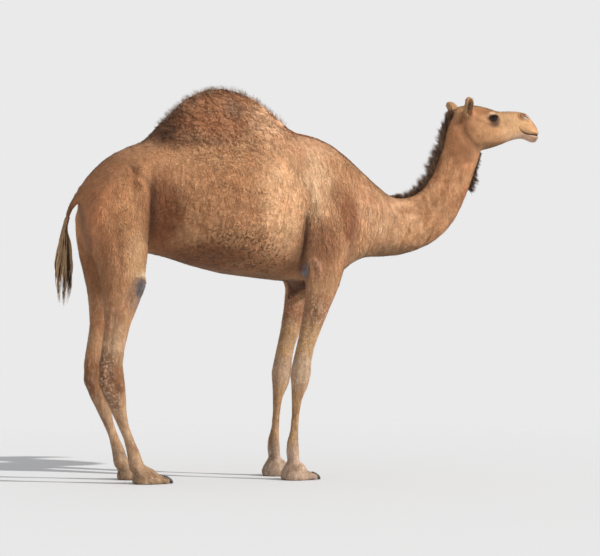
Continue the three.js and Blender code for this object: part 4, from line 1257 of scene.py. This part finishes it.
def drawn(root, way, pull, length, levels, wave):
    """Centre lines of free hair: it starts along way and is drawn over towards pull."""
    count = len(root)
    centre = np.zeros((count, levels, 3))
    side = np.zeros((count, levels, 3))
    centre[:, 0] = root
    way = unit(way)
    ripple = unit(rng.normal(size=(count, 3)))
    phase = rng.uniform(0, 6.28, count)
    across = unit(np.cross(way, ripple))
    for k in range(1, levels):
        bend = np.sin(phase + 2.6 * k)[:, None] * across * wave
        way = unit(way + pull / (levels - 1) + bend)
        centre[:, k] = centre[:, k - 1] + way * (length / (levels - 1))[:, None]
        side[:, k] = unit(np.cross(way, ripple))
    side[:, 0] = side[:, 1]
    return centre, side


def hairs(name, centre, side, width, base, tip, fade, spread=0.3):
    """Free hair as one piece, shaded from base to tip. Its patches go by the root's place."""
    count, levels = centre.shape[:2]
    facing_way = unit(np.cross(side[:, 1], centre[:, 1] - centre[:, 0]))
    own = rng.random(count)[:, None]
    colour = np.array(base) + (np.array(tip) - np.array(base)) * own**1.6
    colour = colour * rng.uniform(1 - spread, 1 + spread, count)[:, None]
    taper = 1 - 0.75 * (np.arange(levels) / (levels - 1)) ** 2
    shades = np.linspace(fade[0], fade[1], levels)
    outward = np.zeros((count, 3))
    outward[:, 1] = np.sign(centre[:, 0, 1]) + 0.01
    spot = unwrap(centre[:, 0], unit(outward))
    marks = np.zeros((count, 4))
    return ribbons(name, HAIR, centre, side, facing_way, width, taper, colour, shades, marks, spot)


def between(table, t):
    """Rows of a table, taken at t from 0 for its first row to 1 for its last."""
    table = np.array(table, float)
    at = t * (len(table) - 1)
    return np.stack([np.interp(at, np.arange(len(table)), column) for column in table.T], axis=1)


# Root x z, tip x z, half width, of the crest of hair down the nape and of the beard.
MANE = cell("""
    905 1966 876 2006 9, 886 1950 852 1986 11, 862 1880 813 1925 13, 850 1790 776 1830 14,
    815 1690 745 1730 14, 770 1595 700 1645 13, 705 1520 642 1568 12, 620 1490 585 1532 10,
    540 1490 528 1526 7, 490 1496 482 1516 5
""")
BEARD = cell("""
    1056 1772 1072 1768 8, 1045 1758 1067 1750 11, 1022 1694 1054 1680 17, 998 1620 1044 1602 19,
    984 1574 1026 1560 11
""")
# Height, lowest and highest x, half width, of the hair at the end of the tail.
TUFT = cell("""
    1420 -1272 -1244 16, 1350 -1292 -1270 12, 1306 -1304 -1278 14, 1250 -1316 -1262 26,
    1130 -1338 -1246 42, 1020 -1334 -1252 34, 912 -1320 -1276 16, 880 -1318 -1280 12
""")


def crest(name, node, table, groups, each, levels, reach, hang, gather, width, base, tip, fade):
    """Hair on a line in the animal's middle plane, from root to tip as the table gives, in pointed groups."""
    count = groups * each
    group = np.repeat(np.arange(groups), each)
    group_t, group_side = rng.random(groups)[group], rng.uniform(-1, 1, groups)[group]
    group_size = rng.uniform(0.5, 1.2, groups)[group]
    group_way = (rng.normal(size=(groups, 3)) * np.array([0.24, 0.3, 0.24]))[group]
    t = np.clip(group_t + rng.normal(size=count) * 0.013, 0, 1)
    q, q_group = between(table, t), between(table, group_t)
    sideways = np.clip(group_side + rng.normal(size=count) * 0.28, -1, 1)
    root = np.stack([q[:, 0], sideways * q[:, 4] * 0.72, q[:, 1]], axis=1)
    root_x, root_z, tip_x, tip_z, half = q_group.T
    out = np.stack([tip_x - root_x, group_side * half * 0.5, tip_z - root_z], axis=1)
    length = np.linalg.norm(out, axis=1) * reach * group_size
    pull = np.array([hang[0], 0, hang[1]])
    aim = unit(unit(out) + group_way + pull)
    peak = np.stack([root_x, group_side * half * 0.72, root_z], axis=1) + aim * length[:, None]
    reach_out = peak - root
    loose = aim * np.linalg.norm(reach_out, axis=1, keepdims=True)
    way = unit(reach_out * gather + loose * (1 - gather)) + rng.normal(size=(count, 3)) * 0.06
    size = np.linalg.norm(reach_out, axis=1) * rng.uniform(0.7, 1.05, count)
    centre, side = drawn(root, way, pull * 0.6, size, levels, 0.05)
    piece = hairs(name, centre, side, np.full(count, width), base, tip, fade)
    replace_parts(piece, node)


def tail_hair():
    """Locks that hang from the dock, swell, and part into ragged wisps at the end."""
    groups, each, levels = 140, 23, 13
    count = groups * each
    group = np.repeat(np.arange(groups), each)
    angle, spread = rng.uniform(0, 6.28, groups), np.sqrt(rng.random(groups))
    u_group, v_group = spread * np.cos(angle), spread * np.sin(angle)
    u = np.clip(u_group[group] + 0.07 * rng.normal(size=count), -1.1, 1.1)
    v = np.clip(v_group[group] + 0.07 * rng.normal(size=count), -1.1, 1.1)
    top = rng.uniform(1322, 1372, count)
    end_group = 900 + 330 * rng.random(groups) ** 2.2 + 30 * np.abs(u_group)
    end = end_group[group] + rng.uniform(0, 70, count)
    wisp = np.select([u_group < -0.3, u_group < 0.35], [-0.85, 0.05], 0.9)[group]
    table = np.array(TUFT)[::-1]
    phase = rng.uniform(0, 6.28, groups)[group]
    swing = rng.uniform(2.5, 8.0, groups)[group]
    centre = np.zeros((count, levels, 3))
    for k in range(levels):
        s = k / (levels - 1)
        z = top + (end - top) * s
        low, high, half = (np.interp(z, table[:, 0], table[:, j]) for j in (1, 2, 3))
        lock = step(0.25, 1.0, s) * 0.75
        uu = u + (u_group[group] - u) * lock
        vv = v + (v_group[group] - v) * lock
        gather = step(1120, 930, z)
        uu = uu + 0.72 * (wisp - uu) * gather
        vv = vv * (1 - 0.5 * gather)
        wave = swing * step(1340, 1180, z) * np.sin(phase + z / 38)
        x = (low + high) / 2 + uu * (high - low) / 2 + wave
        centre[:, k] = np.stack([x, vv * half + 0.6 * wave, z], axis=1)
    run = np.gradient(centre, axis=1)
    side = np.cross(run, unit(rng.normal(size=(count, 3)))[:, None])
    side /= np.maximum(np.linalg.norm(side, axis=2, keepdims=True), 1e-9)
    dark = (rng.random(groups) < 0.55)[group]
    width = rng.uniform(1.1, 2.2, count)
    colours = np.where(dark[:, None], np.array((0.06, 0.032, 0.016)), np.array((0.52, 0.34, 0.19)))
    piece = hairs("tail_hair", centre, side, width, colours, colours * 1.35, (0.85, 1.15), 0.35)
    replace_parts(piece, "tail_tuft")


def fringe(mesh):
    """Sparse hair that stands up along the top of the hump, in loose groups."""
    p, n = places(mesh), facing(mesh)
    ridge = bell(p[:, 1], 40) * near(p, (-452, 0, 1960), (440, 200, 150), 0.12)
    ridge = ridge * step(0.3, 0.8, n[:, 2] + 0.4 * np.abs(n[:, 0]))
    sides = 0.06 * near(p, (-450, 0, 1980), (360, 260, 90), 0.3)
    root, normal = scatter(mesh, 0.05 * np.maximum(ridge, sides) * step(0.38, 0.60, fractal(p, 30, 81)), rng)
    count = len(root)
    group = np.stack([fractal(root, 26, 91 + k) for k in range(3)], axis=1) - 0.5
    way = normal * 0.7 + np.array([-0.1, 0, 0.6]) + lie(root, normal) * 0.2 + group * 2.0
    way = way + rng.normal(size=(count, 3)) * 0.2
    length = rng.uniform(18, 38, count) * (0.75 + 0.6 * fractal(root, 30, 95))
    centre, side = drawn(root - normal * 1.0, way, np.array([-0.35, 0, -0.1]), length, 5, 0.16)
    width, base, tip = rng.uniform(0.7, 1.5, count), (0.20, 0.14, 0.10), (0.44, 0.34, 0.265)
    hairs("hump_fringe", centre, side, width, base, tip, (0.85, 1.2))


def face_hair(mesh):
    """Lashes on the upper and lower lids, and whiskers on the lips and chin."""
    p = places(mesh)
    lips = near(p, (1392, 34, 1902), (44, 24, 22), 0.4) + near(p, (1370, 34, 1848), (64, 26, 18), 0.4)
    root, normal = scatter(mesh, 0.012 * np.minimum(lips, 1), rng)
    count = len(root)
    way = normal + np.array([0.1, 0, -0.3]) + rng.normal(size=(count, 3)) * 0.25
    made = [(root, way, np.array([-0.3, 0, -0.5]), rng.uniform(8, 18, count), 0.32, 1)]
    for mirror in (1, -1):
        for upper, count, long in ((True, 260, 17.0), (False, 90, 7.0)):
            a = rng.uniform(-0.86, 0.9, count)
            rise = (1 - np.abs(a) ** 1.7) ** (1 / 1.7) * (LID_RISE if upper else -LID_DROP)
            across = a * LID_WIDTH
            away = EYE_RADIUS + LID_THICK + 0.3
            depth = np.sqrt(np.maximum(away**2 - across**2 - rise**2, 40))
            root = np.array(EYE) + across[:, None] * EYE_AHEAD + rise[:, None] * EYE_UP
            root = root + depth[:, None] * EYE_OUT
            droop = -0.35 if upper else -0.25
            way = EYE_OUT + EYE_UP * droop + EYE_AHEAD * (0.25 + 0.3 * a)[:, None]
            way = way + rng.normal(size=(count, 3)) * 0.12
            pull = EYE_UP * (0.55 if upper else -0.2)
            made.append((root, way, pull, long * rng.uniform(0.65, 1.1, count), 0.75, mirror))
    lines = []
    for root, way, pull, length, width, mirror in made:
        centre, side = drawn(root, way, pull, length, 5, 0.03)
        centre[..., 1] *= mirror
        side[..., 1] *= mirror
        lines.append((centre, side, np.full(len(root), width)))
    centre, side, width = (np.concatenate(part) for part in zip(*lines))
    hairs("lashes", centre, side, width, (0.012, 0.009, 0.008), (0.03, 0.02, 0.015), (1.0, 1.2))


def ear_hair(mesh, height, inside):
    """Short coat on the ears, and longer hair inside and along the rims."""
    p, n = places(mesh), facing(mesh)
    line = unit((EAR_TIP - EAR_BASE)[None])[0]

    def up(points):
        out = np.tile(line, (len(points), 1))
        out[:, 1] *= np.sign(points[:, 1])
        return out

    root, normal = scatter(mesh, 0.16 * step(0.02, 0.1, height) * (1 - 0.7 * inside), rng)
    way = up(root)
    way = unit(way - normal * dots(way, normal))
    count = len(root)
    way = turned(way, normal, 0.25 * rng.normal(size=count))
    length, lift, curl = rng.uniform(6, 9, count), rng.uniform(0.6, 1.6, count), 0.2 * rng.normal(size=count)
    centre, side = lying(root, normal, way, length, lift, curl, 3)
    colour, marks = ear_paint(root)
    colour = colour * rng.uniform(0.8, 1.2, count)[:, None]
    width, shades, spot = rng.uniform(1.1, 1.7, count), (0.8, 1.0, 1.1), unwrap(root, normal)
    ribbons("ear_coat", COAT, centre, side, normal, width, (0.8, 1.0), colour, shades, marks, spot)
    root, normal = scatter(mesh, 0.022 * inside, rng)
    count = len(root)
    way = up(root) + normal * 0.7 + rng.normal(size=(count, 3)) * 0.25
    length = rng.uniform(7, 15, count)
    centre, side = drawn(root - normal * 0.5, way, np.array([0.15, 0, 0.2]), length, 4, 0.08)
    width = rng.uniform(0.5, 1.0, count)
    hairs("ear_hair", centre, side, width, (0.10, 0.055, 0.032), (0.34, 0.21, 0.12), (0.8, 1.2))


def ear_paint(points):
    colour = np.array(EAR_COAT_SHADE) * (0.8 + 0.4 * fractal(points, 18, 21))[:, None]
    return colour, np.zeros((len(points), 4))


ear_mesh.calc_loop_triangles()
ear_hair(ear_mesh, ear_height, inside_ear)

skin_points, skin_normals = places(skin), facing(skin)
grows = bare_places(skin_points, skin_normals, skin_marks)
plan = coat_plan(skin_points)
density = grows * plan[:, 4] / (plan[:, 0] * plan[:, 1])
left = (skin_points[:, 1] >= 0).astype(float)
on_head = in_head(skin_points) * 1.0
on_legs = (skin_points[:, 2] < 1000) * (1 - on_head)
on_neck = (skin_points[:, 0] > 300) * (1 - on_head) * (1 - on_legs)
on_trunk = (1 - on_head) * (1 - on_legs) * (1 - on_neck)
for label, where in (
    ("trunk_coat_left", on_trunk * left), ("trunk_coat_right", on_trunk * (1 - left)),
    ("neck_coat", on_neck), ("head_coat", on_head),
    ("leg_coat_left", on_legs * left), ("leg_coat_right", on_legs * (1 - left)),
):
    cover(label, skin, density * where, COAT, 3, (0.8, 1.0), (0.86, 1.0, 1.06))


def woolly(length, width, lift, curl):
    return length * 1.25, width * 0.95, lift * rng.uniform(0.8, 1.5, len(length)), curl * 1.9


wool = near(skin_points, (-450, 0, 1900), (400, 360, 230), 0.4)
wool = wool + 0.25 * near(skin_points, (-560, 260, 1400), (300, 200, 260), 0.6)
wool = grows * 0.011 * np.minimum(wool, 1) * on_trunk
cover("hump_wool", skin, wool, COAT, 5, (0.7, 1.0, 0.95, 0.7), (0.84, 0.95, 1.0, 1.05, 1.1), woolly)
fringe(skin)
crest(
    "mane_hair", "mane", MANE, groups=560, each=18, levels=5, reach=0.96, hang=(0.0, 0.34), gather=0.84,
    width=1.8, base=(0.016, 0.008, 0.005), tip=(0.24, 0.135, 0.075), fade=(0.4, 1.9),
)
crest(
    "beard_hair", "beard", BEARD, groups=260, each=15, levels=5, reach=1.12, hang=(0.06, -0.36), gather=0.3,
    width=1.1, base=(0.045, 0.022, 0.013), tip=(0.17, 0.092, 0.052), fade=(0.8, 1.5),
)
tail_hair()
face_hair(skin)

# ---------------------------------------------------------------- camera, floor and light
CAMERA_PLACE = (-3.8339, -10.4306, 0.853)  # fitted to the photo
CAMERA_TURN, CAMERA_LENS, CAMERA_SHIFT = 20, 124.2, 40 / 600
BACKGROUND = 0.823
FLOOR_SIZE = 30
SUN_FROM = (0.743, -0.669, 0.625)


def look():
    cam = bpy.data.objects.new("camera", bpy.data.cameras.new("camera"))
    bpy.context.scene.collection.objects.link(cam)
    cam.location = CAMERA_PLACE
    cam.rotation_euler = (math.radians(90), 0, -math.radians(CAMERA_TURN))
    cam.data.sensor_width = 36
    cam.data.lens = CAMERA_LENS
    cam.data.shift_y = CAMERA_SHIFT
    cam.data.clip_end = 200
    bpy.context.scene.camera = cam


def floor():
    """A pale floor that fades out into the background."""
    mesh = bpy.data.meshes.new("floor")
    s = FLOOR_SIZE
    mesh.from_pydata([(-s, -s, 0), (s, -s, 0), (s, s, 0), (-s, s, 0)], [], [(0, 1, 2, 3)])
    ob = bpy.data.objects.new("floor", mesh)
    bpy.context.scene.collection.objects.link(ob)
    n = Nodes("floor")
    away = n.make("VectorMath", "Value", _operation="LENGTH", i0=n.here())
    clear = n.make("BsdfTransparent")
    mixed = n.make("MixShader", i0=n.ramp(away, 2.2, 7.0), i1=n.shader.outputs["BSDF"], i2=clear)
    n.tree.links.new(mixed, n.tree.nodes["Material Output"].inputs["Surface"])
    pale = n.finish(Base__Color=(0.655, 0.665, 0.68, 1), Roughness=0.9, Specular__IOR__Level=0.1)
    mesh.materials.append(pale)


def light():
    """A sun, an even sky light, and the photo's plain background for the camera alone."""
    world = bpy.data.worlds.new("studio")
    bpy.context.scene.world = world
    world.use_nodes = True
    nt = world.node_tree
    seen = nt.nodes.new("ShaderNodeBackground")
    seen.inputs["Color"].default_value = (BACKGROUND, BACKGROUND, BACKGROUND, 1)
    fill = nt.nodes["Background"]
    fill.inputs["Color"].default_value = (1.0, 1.0, 1.0, 1)
    fill.inputs["Strength"].default_value = 0.6
    path = nt.nodes.new("ShaderNodeLightPath")
    mix = nt.nodes.new("ShaderNodeMixShader")
    nt.links.new(path.outputs["Is Camera Ray"], mix.inputs["Fac"])
    nt.links.new(fill.outputs[0], mix.inputs[1])
    nt.links.new(seen.outputs[0], mix.inputs[2])
    nt.links.new(mix.outputs[0], nt.nodes["World Output"].inputs["Surface"])
    sun = bpy.data.objects.new("key", bpy.data.lights.new("key", "SUN"))
    bpy.context.scene.collection.objects.link(sun)
    sun.data.energy = 3.8
    sun.data.angle = math.radians(1.2)
    sun.data.color = (1.0, 0.97, 0.93)
    sun.rotation_euler = Vector(SUN_FROM).to_track_quat("Z", "Y").to_euler()


look()
floor()
light()
bpy.context.scene.view_settings.view_transform = "Standard"
